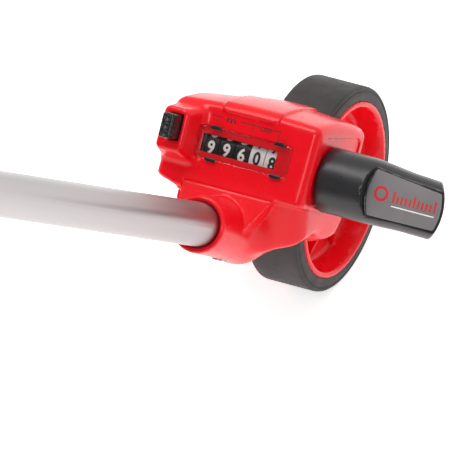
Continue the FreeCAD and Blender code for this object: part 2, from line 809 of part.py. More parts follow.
def lower_housing():
    """The lower shell: a floor under the counter, the sloping shelf, and the belly with the pole collar."""
    fold, deep, wall = s("fold_height") - 0.1, s("tray_depth"), s("wall")
    reach = s("face_reach")
    side, drop = s("pole_side"), s("pole_drop")
    tray_outline = [
        (-38.0, fold),
        (-37.3, fold - 1.4),
        (-26.6, deep),
        (11.0, deep),
        (12.8, deep + 2.0),
        (12.8, fold),
    ]
    inner_outline = [
        (-35.5, fold + 1.0),
        (-35.5, fold - 0.2),
        (-26.2, deep + wall),
        (10.8, deep + wall),
        (10.8, fold + 1.0),
    ]
    tray = cut(
        "tray",
        extruded("tray_block", "XZ_Plane", tray_outline, s("case_reach") + 0.6, 22.0),
        extruded("tray_space", "XZ_Plane", inner_outline, s("case_reach") + 2.6, 18.0),
    )
    shelf_outline = [(-25.6, fold), (9.3, fold), (3.0, -24.5), (-19.0, -24.5)]
    shelf = extruded("shelf", "XZ_Plane", shelf_outline, 60.6, reach - 60.6)
    lip_outline = [(-22.0, -12.0), (6.0, -12.0), (2.0, -24.5), (-18.0, -24.5)]
    lip = extruded("shelf_lip", "XZ_Plane", lip_outline, 60.6, 7.4)
    bottom = drop - s("belly_radius")
    mouth = (side, -s("collar_reach"), drop)
    belly = join(
        "belly",
        rod("belly_barrel", s("belly_radius"), (side, -reach, drop), reach - s("socket_rear") - 3.0, "Y"),
        cone("belly_tail", s("belly_radius"), 9.5, (side, -s("socket_rear") - 3.0, drop), 3.0, "Y"),
        cone("belly_front", s("collar_radius"), s("belly_radius"), (side, -reach - 4.0, drop), 4.0, "Y"),
        cone("collar", s("collar_mouth_radius"), s("collar_radius"), mouth, 22.0, "Y"),
    )
    through = [
        bore(f"tray_hole_{i}", 1.4, (x, -y, -15.0), 9.0, "Z") for i, (x, y) in enumerate(SCREW_PLACES)
    ]
    blind = [
        rod(f"frame_screw_bore_{i}", 1.2, (x, -y, -13.2), 8.0, "Z")
        for i, (x, y) in enumerate(FRAME_SCREW_PLACES)
    ]
    sinks = [
        rod(f"screw_sink_{i}", 2.8, (x, -y, bottom - 2.0), s("shell_screw_floor") - bottom + 2.0, "Z")
        for i, (x, y) in enumerate(SCREW_PLACES)
    ]
    shell = cut(
        "LowerHousing",
        join("lower_housing_solid", tray, shelf, lip, lower_lobe(), belly, *tray_pillars()),
        bore("pole_socket", s("tube_radius"), mouth, s("collar_reach") - s("tube_start"), "Y"),
        cone("socket_mouth", s("tube_radius") + 1.4, s("tube_radius"), mouth, 1.4, "Y"),
        bore("pole_screw_hole", 1.5, (side, -58.0, -38.0), 8.0, "Z"),
        rod("pole_screw_sink", 2.8, (side, -58.0, bottom - 2.0), s("pole_screw_floor") - bottom + 2.0, "Z"),
        bore("idler_way", 17.6, (s("gear_left") - 1.2, *idler_place()), s("gear_width") + 2.4),
        *through,
        *blind,
        *sinks,
    )
    node(shell, "lower_housing")


def lower_lobe():
    """The solid that fills the angle between the belly, the tray and the arm, sloping back under the face."""
    rear, top = s("lobe_rear"), s("tray_depth") + 0.5
    side, drop = s("pole_side"), s("pole_drop")
    bottom = drop - s("belly_radius")
    across = [
        (-29.0, top),
        (-19.8, drop - 6.0),
        (side - 6.0, bottom + 2.6),
        (side + 6.0, bottom + 2.6),
        (12.8, drop - 4.0),
        (12.8, top),
    ]
    along = [
        (4.0 - s("face_reach"), top),
        (-56.4, drop),
        (-50.5, bottom - 1.0),
        (-rear, bottom - 1.0),
        (-rear, top),
    ]
    return common(
        "lower_lobe",
        extruded("lobe_across", "XZ_Plane", across, rear - 1.0, s("face_reach") - rear),
        extruded("lobe_along", "YZ_Plane", along, s("housing_left"), s("arm_right") - s("housing_left")),
    )


def tray_pillars():
    """Short pillars in the tray around the frame's screws, and pads under the shells' screws."""
    top = s("fold_height") - s("seam_gap")
    floors = [s("shell_screw_floor")] * len(SCREW_PLACES) + [s("tray_depth")] * len(FRAME_SCREW_PLACES)
    return [
        rod(f"tray_pillar_{i}", 2.6, (x, -y, floor), top - floor, "Z")
        for i, ((x, y), floor) in enumerate(zip(ALL_SCREW_PLACES, floors))
    ]


def case_outline(inset=0.0, rear=None):
    """The gear case's side outline: a box toward the user that ends in a chamfered tail past the axle."""
    half, tail = s("case_half_height") - inset, s("case_tail") - inset
    front = s("case_reach") - 0.2 if rear is None else rear
    bevel = 9.0
    return [
        (-front, 1.5 - half),
        (-front, half),
        (tail - bevel, half),
        (tail, half - bevel),
        (tail, bevel - half),
        (tail - bevel, -half),
        (bevel - front, -half),
    ]


def gear_case():
    """The left case round the wheel gear and the idler, open on its left and toward the counter."""
    left, slot, wall = s("housing_left") + s("cover_thickness"), s("slot_left"), s("wall")
    inside = case_outline(wall, s("case_reach") + 3)
    body = cut(
        "gear_case_shell",
        extruded("gear_case_block", "YZ_Plane", case_outline(), left, slot - left),
        extruded("gear_case_space", "YZ_Plane", inside, left - 1, slot - wall - left + 1),
    )
    posts = [rod(f"case_post_{i}", 2.6, (left, y, z), 5.6) for i, (y, z) in enumerate(COVER_SCREWS)]
    case = cut(
        "GearCase",
        join("gear_case_solid", body, *posts),
        bore("inner_bush_seat", s("bush_radius"), (slot - wall, 0, 0), wall),
        *[rod(f"case_post_hole_{i}", 1.2, (left - 1, y, z), 5.0) for i, (y, z) in enumerate(COVER_SCREWS)],
    )
    node(case, "gear_case")


def gear_case_cover():
    """The left cover, with a seat for the outer bush and a boss for the idler's pin."""
    left, thick = s("housing_left"), s("cover_thickness")
    idler_y, idler_z = idler_place()
    plate = extruded("cover_plate", "YZ_Plane", case_outline(), left, thick)
    solid = join(
        "cover_solid",
        plate,
        rod("bush_housing", 7.5, (left + thick - 0.1, 0, 0), 2.3),
        rod("idler_boss", 4.0, (left + thick - 0.1, idler_y, idler_z), 4.4),
    )
    cover = cut(
        "GearCaseCover",
        solid,
        bore("outer_bush_seat", s("bush_radius"), (left + thick + 1.0, 0, 0), 1.2),
        bore("idler_pin_seat", s("idler_pin_radius"), (left + 2.0, idler_y, idler_z), 6.0),
        *[bore(f"cover_hole_{i}", 1.3, (left, y, z), thick) for i, (y, z) in enumerate(COVER_SCREWS)],
    )
    node(cover, "gear_case_cover")


# where the cover screws stand, forward and up
COVER_SCREWS = [(15.0, 8.0), (15.0, -8.0), (-30.0, 17.0), (-30.0, -17.0)]


def screw(name, place, head_radius, shank_radius, length, head=1.5):
    """A pan-head screw along +X from the underside of its head, with a cross recess."""
    x, y, z = place
    body = join(
        f"{name}_body",
        rod(f"{name}_shank", shank_radius, (x, y, z), length),
        rod(f"{name}_head", head_radius, (size(x) - head, y, z), head),
    )
    slot_start, slot_end = size(x) - head - 1, size(x) - head * 0.4
    reach, half = head_radius * 0.6, 0.25
    arms = [
        block(f"{name}_slot_y", (slot_start, y - reach, z - half), (slot_end, y + reach, z + half)),
        block(f"{name}_slot_z", (slot_start, y - half, z - reach), (slot_end, y + half, z + reach)),
    ]
    return cut(f"{name}_screw", body, *arms)


def upright_screw(name, place, head_radius, shank_radius, length, head=1.4, downward=False):
    """A plain pan-head screw driven up, or down, from the underside of its head."""
    x, y, z = place
    shank_start = z - length if downward else z
    head_start = z if downward else z - head
    return join(
        name,
        rod(f"{name}_shank", shank_radius, (x, y, shank_start), length, "Z"),
        rod(f"{name}_head", head_radius, (x, y, head_start), head, "Z"),
    )


def group(name, pieces):
    """Several identical fasteners as one node of separate solids."""
    compound = doc.addObject("Part::Compound", name)
    compound.Links = pieces
    return compound


def fasteners():
    """The screws that hold the housing together, one node for each kind."""
    left = SIZES["housing_left"]
    covers = [screw(f"cover_{i}", (left, y, z), 2.4, 1.2, 5.0) for i, (y, z) in enumerate(COVER_SCREWS)]
    node(group("CoverScrews", covers), "cover_screws")
    floor, top = SIZES["shell_screw_floor"], SIZES["frame_floor"] + SIZES["frame_floor_thickness"]
    into_shell, into_frame = enumerate(SCREW_PLACES), enumerate(FRAME_SCREW_PLACES)
    shells = [upright_screw(f"shell_{i}", (x, -y, floor), 2.4, 1.15, 7.0) for i, (x, y) in into_shell]
    node(group("HousingScrews", shells), "housing_screws")
    frames = [
        upright_screw(f"frame_{i}", (x, -y, top), 1.9, 1.15, 7.0, 1.0, downward=True)
        for i, (x, y) in into_frame
    ]
    node(group("FrameScrews", frames), "frame_screws")
    side, floor = SIZES["pole_side"], SIZES["pole_screw_floor"]
    node(upright_screw("PoleScrew", (side, -58.0, floor), 2.6, 1.45, 3.6, 1.2), "pole_screw")
    node(grip_screw(), "grip_screw")


def window():
    """The clear lens over the drums, standing in its recess."""
    reach, low, high = s("face_reach"), s("window_low"), s("window_high")
    front = reach - s("window_recess") + s("window_thickness")
    right = s("window_left") + s("window_length")
    lens = block("lens_plate", (s("window_left"), -front, low), (right, s("window_recess") - reach, high))
    node(group("CounterWindow", [lens]), "counter_window")


def window_clips():
    """Four small spring clips that hold the lens by its long edges."""
    front = s("face_reach") - s("window_recess") + s("window_thickness")
    pieces = []
    for i, x in enumerate((-20.5, 4.5)):
        for j, (edge, out) in enumerate(((s("window_low"), -1.2), (s("window_high"), 0.2))):
            low, high = (edge + out, edge + 1.0) if j == 0 else (edge - 1.0, edge + 1.2)
            pieces.append(block(f"clip_{i}{j}", (x, -front - 0.6, low), (x + 5.0, -front, high)))
    node(group("WindowClips", pieces), "window_clips")


# ---------------------------------------------------------------- controls


def reset_button():
    """The dished key, with a stem that reaches into the housing."""
    left, low = s("button_left"), s("button_low")
    width, length = s("button_width"), s("button_length")
    cap = block("button_cap", (left, -s("button_reach"), low), (left + width, -66.0, low + length))
    stem = block("button_stem", (left + 0.4, -66.5, low + 1.5), (left + 3.6, -59.5, low + length - 1.0))
    link = block("button_link", (left + 0.4, -62.6, low + 4.0), (left + 3.6, -59.5, 18.4))
    dimples = []
    for step in (-3.0, 0.0, 3.0):
        ball = doc.addObject("Part::Sphere", "dimple")
        bind(ball, Radius=3.0)
        move(ball, left + width / 2, -s("button_reach") - 2.4, low + length / 2 + step)
        dimples.append(ball)
    node(cut("ResetButton", join("button_solid", cap, stem, link), *dimples), "reset_button")


def reset_bar():
    """The bar that carries the key's stroke across the counter, with a finger over each drum."""
    left = s("button_left") + 3.6
    bar = block("bar_rail", (left, -62.6, 16.8), (drum_left(4) + 5.0, -60.6, 18.4))
    fingers = [
        block(f"bar_finger_{i}", (drum_left(i) + 2.2, -60.7, 16.8), (drum_left(i) + 3.8, -57.6, 17.8))
        for i in range(len(DRUM_NAMES))
    ]
    node(join("ResetBar", bar, *fingers), "reset_bar")


def reset_spring():
    """The coil of round wire that returns the key, between its stem and the seat behind it."""
    turns, radius, wire = 5, 1.5, 0.22
    start, end = -59.5, -50.5
    free_length = end - start - 2 * wire
    helix = Part.makeHelix(free_length / turns, free_length, radius)
    profile = Part.Wire([Part.Circle(Vector(radius, 0, 0), Vector(0, 1, 0), wire).toShape()])
    coil = Part.Wire(helix.Edges).makePipeShell([profile], True, True)
    centre = (SIZES["button_left"] + 2.0, start + wire, SIZES["button_low"] + SIZES["button_length"] / 2)
    piece = shaped("spring_coil", coil)
    move(piece, *centre, ALONG["Y"])
    node(group("ResetSpring", [piece]), "reset_spring")


# ---------------------------------------------------------------- side grip


def side_grip():
    """The short handle on the arm: a round root, a taper that droops a little, a flat and a slanted end."""
    base, end = s("arm_right"), s("side_grip_end")
    full, tip, taper = s("side_grip_radius"), s("side_grip_tip_radius"), s("grip_taper_start")
    reach = end - taper
    corners = [(-1.0, 0), (reach + 2.0, 0), (reach + 2.0, tip), (0, full - 0.3), (-1.0, full - 0.6)]
    droop = Rotation(Vector(0, 1, 0), SIZES["grip_droop"])
    tapered = turned("grip_taper", corners)
    move(tapered, taper, 0, 0, droop)
    slant = block("grip_end_cut", (0, 0, 0), (20.0, 42.0, 40.0))
    lean = Rotation(Vector(0, 0, 1), SIZES["grip_end_slant"])
    corner = lean.multVec(Vector(0, -2.0, -20.0))
    move(slant, end + corner.x, corner.y - s("grip_flat"), corner.z, lean)
    y, z = -s("grip_reach"), s("grip_height")
    handle = cut(
        "SideGrip",
        join("grip_turnings", rod("grip_root", full, (base, 0, 0), taper - base), tapered),
        block("grip_flat_cut", (taper + 2.5, -20.0, -14.0), (end + 4.0, -s("grip_flat"), 14.0)),
        slant,
        bore("grip_screw_bore", 2.5, (base, 0, 0), 15.0),
    )
    node(handle, "side_grip", 0, y, z)
    flat, half = s("grip_flat"), s("label_width") / 2
    low, high = (0, -flat - s("label_thickness"), -half), (reach - 3.7, -flat, half)
    label = block("label_plate", low, high)
    move(label, taper + 3.2, -flat - s("label_thickness"), -half, droop)
    node(group("GripLabel", [label]), "grip_label", 0, y, z)


def grip_screw():
    """The screw from inside the arm that holds the side grip."""
    inside = s("arm_right") - s("wall")
    y, z = -SIZES["grip_reach"], SIZES["grip_height"]
    shank = rod("grip_screw_shank", 2.45, (inside, y, z), 14.0)
    head = rod("grip_screw_head", 4.5, (inside - 3.0, y, z), 3.0)
    return join("GripScrew", shank, head)


# ---------------------------------------------------------------- pole


def pole_pipe(name, label, outer, start, end, hole=None):
    """A pole tube along -Y, from start to end, counted from the wheel's centre."""
    place = (s("pole_side"), -end, s("pole_drop"))
    tube = sleeve(name, outer - s("tube_wall"), outer, place, end - start, "Y")
    if hole:
        tube = cut(f"{name}_drilled", tube, hole)
    node(tube, label)


def pole():
    """The tube clamped in the collar, the two tubes that slide out of it, and their twist collars."""
    outer, wall, play = s("tube_radius"), s("tube_wall"), s("slide_play")
    middle = outer - wall - play
    inner = middle - wall - play
    side, drop = s("pole_side"), s("pole_drop")
    screw_hole = bore("tube_screw_hole", 1.5, (SIZES["pole_side"], -58.0, -34.0), 6.0, "Z")
    pole_pipe("PoleTube", "pole_tube", outer, s("tube_start"), s("tube_end"), screw_hole)
    pole_pipe("MiddleTube", "pole_middle_tube", middle, size(60.0), s("middle_end"))
    pole_pipe("InnerTube", "pole_inner_tube", inner, size(75.0), s("inner_end"))
    twist_collar("TwistCollar", "twist_collar", outer, middle, s("tube_end"), 10.4)
    twist_collar("SmallTwistCollar", "small_twist_collar", middle, inner, s("middle_end"), 9.2)

    grip_start, grip_end, radius = s("middle_end") + 10.0, s("inner_end") + 2.0, s("grip_radius")
    corners = [
        (-grip_end, inner),
        (-grip_end, radius - 1.0),
        (1.0 - grip_end, radius),
        (-grip_start - 5.0, radius),
        (-grip_start, radius - 2.5),
        (-grip_start, inner),
    ]
    node(turned("PoleGrip", corners, "Y"), "pole_grip", side, 0, drop)
    cap = [
        (-grip_end - 3.0, 0.0),
        (-grip_end - 3.0, radius - 4.0),
        (-grip_end - 1.5, radius - 1.2),
        (-grip_end, radius - 1.2),
        (-grip_end, inner - wall),
        (-grip_end + 12.0, inner - wall),
        (-grip_end + 12.0, 0.0),
    ]
    node(turned("PoleCap", cap, "Y"), "pole_cap", side, 0, drop)


def twist_collar(name, label, outer, inner, end, radius):
    """A clamping ring that turns on the end of one tube and closes on the next."""
    play = s("counter_play")
    corners = [
        (14.0 - end, outer + play),
        (14.0 - end, radius - 1.0),
        (13.0 - end, radius),
        (-end - 5.0, radius),
        (-end - 6.0, radius - 1.0),
        (-end - 6.0, inner + play),
        (-end - 0.3, inner + play),
        (-end - 0.3, outer + play),
    ]
    node(turned(name, corners, "Y"), label, s("pole_side"), 0, s("pole_drop"))


# ---------------------------------------------------------------- the whole


def check():
    """Stops if any object failed to recompute or any sub-part's shape isn't sound."""
    for thing in doc.Objects:
        if "Invalid" in thing.State or "Error" in thing.State:
            raise RuntimeError(f"{thing.Name} failed: {thing.State}")
    for piece in nodes:
        shape = piece.Shape
        if shape.isNull() or not shape.isValid() or not shape.Solids:
            raise RuntimeError(f"{piece.Label} has no sound solid")
        print(f"{piece.Label}: {len(shape.Solids)} solid(s), {shape.Volume / 1000:.3f} cm3")


def main():
    fill_sheet()
    tyre()
    wheel_rim()
    wheel_shaft()
    hub_parts()
    bushes()
    gear_train()
    drums()
    pinions()
    carrier_sleeve()
    counter_shaft()
    counter_frame()
    counter_housing()
    lower_housing()
    gear_case()
    gear_case_cover()
    fasteners()
    window()
    window_clips()
    reset_button()
    reset_bar()
    reset_spring()
    side_grip()
    pole()
    doc.recompute()
    check()
    os.makedirs("parts", exist_ok=True)
    for piece in nodes:
        piece.Shape.exportStep(f"parts/{piece.Label}.step")


main()
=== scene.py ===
"""The looks of the compact measuring wheel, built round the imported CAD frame.

Shapes are worked out in the instrument's own axes, in millimetres: x to the user's right along the axle,
y forward, z up on the counter's face, with the origin at the wheel's centre. In the shapes, p is how far
toward the user a point is, which is -y. STAND turns them into the frame's metres.
"""
import json
import math

import bmesh
import bpy
import numpy as np
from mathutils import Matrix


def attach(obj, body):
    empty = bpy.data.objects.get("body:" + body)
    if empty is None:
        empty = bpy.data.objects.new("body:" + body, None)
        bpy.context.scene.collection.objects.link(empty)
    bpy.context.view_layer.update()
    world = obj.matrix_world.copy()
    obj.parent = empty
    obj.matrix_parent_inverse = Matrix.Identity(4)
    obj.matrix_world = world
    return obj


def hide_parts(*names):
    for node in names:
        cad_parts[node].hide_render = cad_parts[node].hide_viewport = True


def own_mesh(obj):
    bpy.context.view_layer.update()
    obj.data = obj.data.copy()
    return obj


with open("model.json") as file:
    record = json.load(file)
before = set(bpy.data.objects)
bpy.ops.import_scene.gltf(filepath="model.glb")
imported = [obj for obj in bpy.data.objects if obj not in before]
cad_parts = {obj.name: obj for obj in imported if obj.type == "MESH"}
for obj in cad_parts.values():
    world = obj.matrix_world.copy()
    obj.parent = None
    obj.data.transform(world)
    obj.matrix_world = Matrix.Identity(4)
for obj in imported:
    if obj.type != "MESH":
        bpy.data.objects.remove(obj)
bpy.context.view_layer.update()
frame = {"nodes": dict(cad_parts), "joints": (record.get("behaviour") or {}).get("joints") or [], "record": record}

import openvdb
from mathutils import Matrix, Vector

MM = 0.001
FAR = 1e3
SHARP_ANGLE = math.radians(42.0)
JOINTS = {joint["name"]: joint for joint in frame["joints"]}


def standing_matrix():
    """The instrument's axes in the frame: tilted so that the pole rises, and set at the wheel's centre."""
    centre = Vector(JOINTS["wheel_spin"]["pos_m"])
    across = Vector((1, 0, 0))
    forward = -Vector(JOINTS["middle_stage_slide"]["axis"])
    up = across.cross(forward)
    turn = Matrix((across, forward, up)).transposed().to_4x4()
    return Matrix.Translation(centre) @ turn


STAND = standing_matrix()


def own_place(name):
    """A CAD node's corners in the instrument's axes, as (lowest, highest) in mm."""
    back = STAND.inverted()
    points = [back @ v.co / MM for v in frame["nodes"][name].data.vertices]
    return [min(p[i] for p in points) for i in range(3)], [max(p[i] for p in points) for i in range(3)]


# ---------------------------------------------------------------- solid fields
# A field gives the distance to a solid's surface, negative inside, at arrays of x, y and z.


def rounded_and(first, second, radius):
    """The common part of two solids, with the edge between them rounded."""
    a, b = np.maximum(first + radius, 0), np.maximum(second + radius, 0)
    return np.minimum(-radius, np.maximum(first, second)) + np.hypot(a, b)


def rounded_or(first, second, radius):
    """The union of two solids, with a fillet between them."""
    return -rounded_and(-first, -second, radius)


def rounded_cut(first, second, radius):
    """The first solid without the second, with a rounded rim."""
    return rounded_and(first, -second, radius)


def brick(x, y, z, low, high, radius=0.0):
    """A box with rounded edges."""
    gaps = [np.abs(v - (a + b) / 2) - ((b - a) / 2 - radius) for v, a, b in zip((x, y, z), low, high)]
    outside = np.sqrt(sum(np.maximum(g, 0) ** 2 for g in gaps))
    return outside + np.minimum(np.maximum(np.maximum(gaps[0], gaps[1]), gaps[2]), 0) - radius


def slope(u, v, first, second):
    """A half plane in (u, v) through two points, solid on the left of the way from first to second."""
    length = math.hypot(second[0] - first[0], second[1] - first[1])
    du, dv = (second[0] - first[0]) / length, (second[1] - first[1]) / length
    return (u - first[0]) * dv - (v - first[1]) * du


def polygon(u, v, corners):
    """The distance to a closed outline in (u, v)."""
    best = np.full_like(u, 1e9)
    inside = np.zeros(u.shape, bool)
    for (au, av), (bu, bv) in zip(corners, corners[1:] + corners[:1]):
        eu, ev = bu - au, bv - av
        share = np.clip(((u - au) * eu + (v - av) * ev) / (eu * eu + ev * ev), 0, 1)
        best = np.minimum(best, (u - au - share * eu) ** 2 + (v - av - share * ev) ** 2)
        crosses = (av > v) != (bv > v)
        if ev:
            inside ^= crosses & (u < au + (v - av) / ev * eu)
    return np.sqrt(best) * np.where(inside, -1, 1)


def slab(along, start, end):
    """The space between two planes."""
    return np.abs(along - (start + end) / 2) - (end - start) / 2


# ---------------------------------------------------------------- making meshes


def new_object(name, mesh, body, *replaced, slot=None, stand=True):
    """Links a mesh as a piece that rides on a body and stands for some CAD nodes."""
    piece = bpy.data.objects.new(name, mesh)
    bpy.context.scene.collection.objects.link(piece)
    if stand:
        mesh.transform(STAND @ Matrix.Scale(MM, 4))
    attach(piece, body)
    if replaced:
        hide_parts(*replaced)
    return piece


def grid_values(field, low, high, cell):
    """A field's values on a grid of cells, worked out a few layers at a time."""
    counts = [int(math.ceil((b - a) / cell)) + 1 for a, b in zip(low, high)]
    axes = [a + cell * np.arange(n, dtype=np.float32) for a, n in zip(low, counts)]
    values = np.empty(counts, np.float32)
    for start in range(0, counts[0], 16):
        layers = np.meshgrid(axes[0][start : start + 16], axes[1], axes[2], indexing="ij")
        values[start : start + 16] = field(*layers)
    return values


def slopes(field, points):
    """The field at some points, with its gradient's direction and length there."""
    step = 0.02
    columns = [points[:, i] for i in range(3)]
    gradient = np.empty_like(points)
    for i in range(3):
        ahead, behind = list(columns), list(columns)
        ahead[i] = columns[i] + step
        behind[i] = columns[i] - step
        gradient[:, i] = (field(*ahead) - field(*behind)) / (2 * step)
    length = np.maximum(np.linalg.norm(gradient, axis=1, keepdims=True), 1e-6)
    return field(*columns), gradient / length, length[:, 0]


def moulded(field, low, high, cell=0.4, adaptivity=0.03):
    """A smooth mesh of a field's surface, in mm, its points drawn onto the surface along the field's slope."""
    low, high = [a - 2 * cell for a in low], [b + 2 * cell for b in high]
    grid = openvdb.FloatGrid(background=3 * cell)
    grid.copyFromArray(np.clip(grid_values(field, low, high, cell), -3 * cell, 3 * cell))
    points, triangles, quads = grid.convertToPolygons(isovalue=0.0, adaptivity=adaptivity)
    points = points.astype(np.float64) * cell + np.array(low)
    for _ in range(3):
        distance, normal, steepness = slopes(field, points)
        points -= normal * np.clip(distance / steepness, -cell / 2, cell / 2)[:, None]
    mesh = bpy.data.meshes.new("moulded")
    mesh.from_pydata(points.tolist(), [], [f[::-1] for f in quads.tolist() + triangles.tolist()])
    mesh.validate()
    mesh.shade_smooth()
    mesh.set_sharp_from_angle(angle=SHARP_ANGLE)
    return mesh


def lathe(outline, segments=128, axis="X"):
    """A mesh turned from a closed outline of (along, radius) points, in mm."""
    mesh = bpy.data.meshes.new("lathe")
    work = bmesh.new()
    rings = []
    for step in range(segments):
        angle = 2 * math.pi * step / segments
        c, s = math.cos(angle), math.sin(angle)
        place = {"X": lambda a, r: (a, r * c, r * s), "Y": lambda a, r: (r * s, a, r * c)}[axis]
        rings.append([work.verts.new(place(a, r)) for a, r in outline])
    count = len(outline)
    for i in range(segments):
        ring, following = rings[i], rings[(i + 1) % segments]
        for j in range(count):
            work.faces.new((ring[j], following[j], following[(j + 1) % count], ring[(j + 1) % count]))
    bmesh.ops.remove_doubles(work, verts=work.verts, dist=1e-4)
    bmesh.ops.recalc_face_normals(work, faces=work.faces)
    work.to_mesh(mesh)
    work.free()
    mesh.shade_smooth()
    return mesh


def finished(work, name):
    """A mesh made of a bmesh, which is freed."""
    mesh = bpy.data.meshes.new(name)
    work.to_mesh(mesh)
    work.free()
    return mesh


def add_box(work, low, high):
    """Adds a box to a bmesh."""
    box = bmesh.ops.create_cube(work, size=1.0)
    for v in box["verts"]:
        v.co = [a if c < 0 else b for c, a, b in zip(v.co, low, high)]


def round_corners(outline, radius, steps=5):
    """A closed outline whose corners are arcs of one radius, or less where its sides are short."""
    result = []
    count = len(outline)
    for i in range(count):
        before, corner, after = (Vector(outline[(i + k) % count]) for k in (-1, 0, 1))
        back, ahead = before - corner, after - corner
        if min(back.length, ahead.length) < 1e-6:
            continue
        half = back.angle(ahead) / 2
        if abs(half - math.pi / 2) < 0.02:
            result.append(tuple(corner))
            continue
        reach = min(radius / math.tan(half), 0.45 * back.length, 0.45 * ahead.length)
        start, end = corner + back.normalized() * reach, corner + ahead.normalized() * reach
        for step in range(steps + 1):
            t = step / steps
            result.append(tuple(start * (1 - t) ** 2 + corner * 2 * t * (1 - t) + end * t**2))
    return result


# ---------------------------------------------------------------- materials


def material(name, colour, roughness, **inputs):
    """A node material with a lone Principled shader, its sockets set from inputs."""
    made = bpy.data.materials.new(name)
    made.use_nodes = True
    shader = made.node_tree.nodes["Principled BSDF"]
    shader.inputs["Base Color"].default_value = (*colour, 1)
    shader.inputs["Roughness"].default_value = roughness
    for socket, value in inputs.items():
        shader.inputs[socket.replace("_", " ")].default_value = value
    return made


def node(tree, kind, **settings):
    """A node with properties and inputs set by name."""
    made = tree.nodes.new(kind)
    for name, value in settings.items():
        if name in made.inputs:
            made.inputs[name].default_value = value
        else:
            setattr(made, name, value)
    return made


def noise(tree, scale, detail=4.0, stretch=None):
    """Noise in the object's own space, its scale per metre, drawn out along the axes by stretch."""
    place = tree.nodes.new("ShaderNodeTexCoord")
    texture = node(tree, "ShaderNodeTexNoise", Scale=scale, Detail=detail)
    if stretch:
        mapping = tree.nodes.new("ShaderNodeMapping")
        mapping.vector_type = "TEXTURE"
        mapping.inputs["Scale"].default_value = stretch
        mapping.inputs["Rotation"].default_value = STAND.to_euler()
        tree.links.new(place.outputs["Object"], mapping.inputs["Vector"])
        tree.links.new(mapping.outputs["Vector"], texture.inputs["Vector"])
    else:
        tree.links.new(place.outputs["Object"], texture.inputs["Vector"])
    return texture.outputs["Fac"]


# the part of a noise's 0 to 1 range that most of it lies in
NOISE_LOW, NOISE_HIGH = 0.3, 0.7


def spread(tree, value, low, high, start=NOISE_LOW, end=NOISE_HIGH):
    """A value between start and end, spread between low and high."""
    made = tree.nodes.new("ShaderNodeMapRange")
    made.inputs["From Min"].default_value = start
    made.inputs["From Max"].default_value = end
    made.inputs["To Min"].default_value = low
    made.inputs["To Max"].default_value = high
    tree.links.new(value, made.inputs["Value"])
    return made.outputs["Result"]


def tinted(tree, value, dark, light):
    """A colour between two, by a noise's value."""
    ramp = tree.nodes.new("ShaderNodeValToRGB")
    ramp.color_ramp.elements[0].position = NOISE_LOW
    ramp.color_ramp.elements[0].color = (*dark, 1)
    ramp.color_ramp.elements[1].position = NOISE_HIGH
    ramp.color_ramp.elements[1].color = (*light, 1)
    tree.links.new(value, ramp.inputs["Fac"])
    return ramp.outputs["Color"]


def bump(tree, height, strength, distance):
    """A bump normal from a height."""
    made = tree.nodes.new("ShaderNodeBump")
    made.inputs["Strength"].default_value = strength
    made.inputs["Distance"].default_value = distance
    tree.links.new(height, made.inputs["Height"])
    return made.outputs["Normal"]


def textured(name, dark, light, rough, grain, stretch=None, **inputs):
    """A material whose colour and roughness wander a little and whose surface has a fine grain."""
    made = material(name, light, rough[0], **inputs)
    tree = made.node_tree
    shader = tree.nodes["Principled BSDF"]
    broad = noise(tree, 60.0, 3.0, stretch)
    tree.links.new(tinted(tree, broad, dark, light), shader.inputs["Base Color"])
    tree.links.new(spread(tree, noise(tree, 170.0, 5.0, stretch), *rough), shader.inputs["Roughness"])
    scale, strength, distance = grain
    tree.links.new(bump(tree, noise(tree, scale, 6.0, stretch), strength, distance), shader.inputs["Normal"])
    return made


RED = textured(
    "red_gloss_plastic", (0.84, 0.003, 0.011), (0.9, 0.004, 0.014), (0.22, 0.28), (350.0, 0.012, 0.0001),
    IOR=1.4,
)
RUBBER = textured(
    "tyre_rubber", (0.034, 0.031, 0.031), (0.05, 0.046, 0.046), (0.55, 0.72), (2600.0, 0.35, 0.0002), IOR=1.45
)
BLACK = textured(
    "black_plastic", (0.012, 0.012, 0.013), (0.02, 0.02, 0.022), (0.22, 0.32), (900.0, 0.04, 0.0001), IOR=1.5
)
GRIP = textured(
    "grip_plastic", (0.014, 0.014, 0.016), (0.022, 0.022, 0.025), (0.27, 0.36), (2600.0, 0.22, 0.0002),
    IOR=1.5,
)
FOAM = textured("grip_foam", (0.018, 0.018, 0.018), (0.03, 0.03, 0.03), (0.75, 0.9), (1500.0, 0.8, 0.0005))
WHITE = textured("white_plastic", (0.88, 0.87, 0.85), (0.95, 0.94, 0.92), (0.35, 0.5), (1500.0, 0.1, 0.0001))
LABEL = textured(
    "label_film", (0.2, 0.187, 0.192), (0.245, 0.232, 0.237), (0.38, 0.5), (1200.0, 0.12, 0.0001)
)
INK_WHITE = textured("white_ink", (0.92, 0.92, 0.91), (0.97, 0.97, 0.96), (0.45, 0.6), (1800.0, 0.1, 0.0001))
INK_BLACK = textured(
    "black_ink", (0.012, 0.012, 0.013), (0.02, 0.02, 0.022), (0.45, 0.6), (1800.0, 0.1, 0.0001)
)
INK_RED = textured("red_ink", (0.6, 0.02, 0.03), (0.75, 0.03, 0.04), (0.45, 0.6), (1800.0, 0.1, 0.0001))
ALUMINIUM = textured(
    "satin_aluminium", (0.39, 0.37, 0.375), (0.47, 0.45, 0.455), (0.34, 0.44), (900.0, 0.16, 0.0002),
    stretch=(1.0, 40.0, 1.0), Metallic=1.0,
)
STEEL = textured(
    "zinc_steel", (0.42, 0.42, 0.42), (0.58, 0.58, 0.57), (0.3, 0.45), (1400.0, 0.2, 0.0002), Metallic=1.0
)
BRONZE = textured(
    "sintered_bronze", (0.4, 0.24, 0.1), (0.52, 0.34, 0.16), (0.4, 0.55), (1600.0, 0.3, 0.0002), Metallic=1.0
)


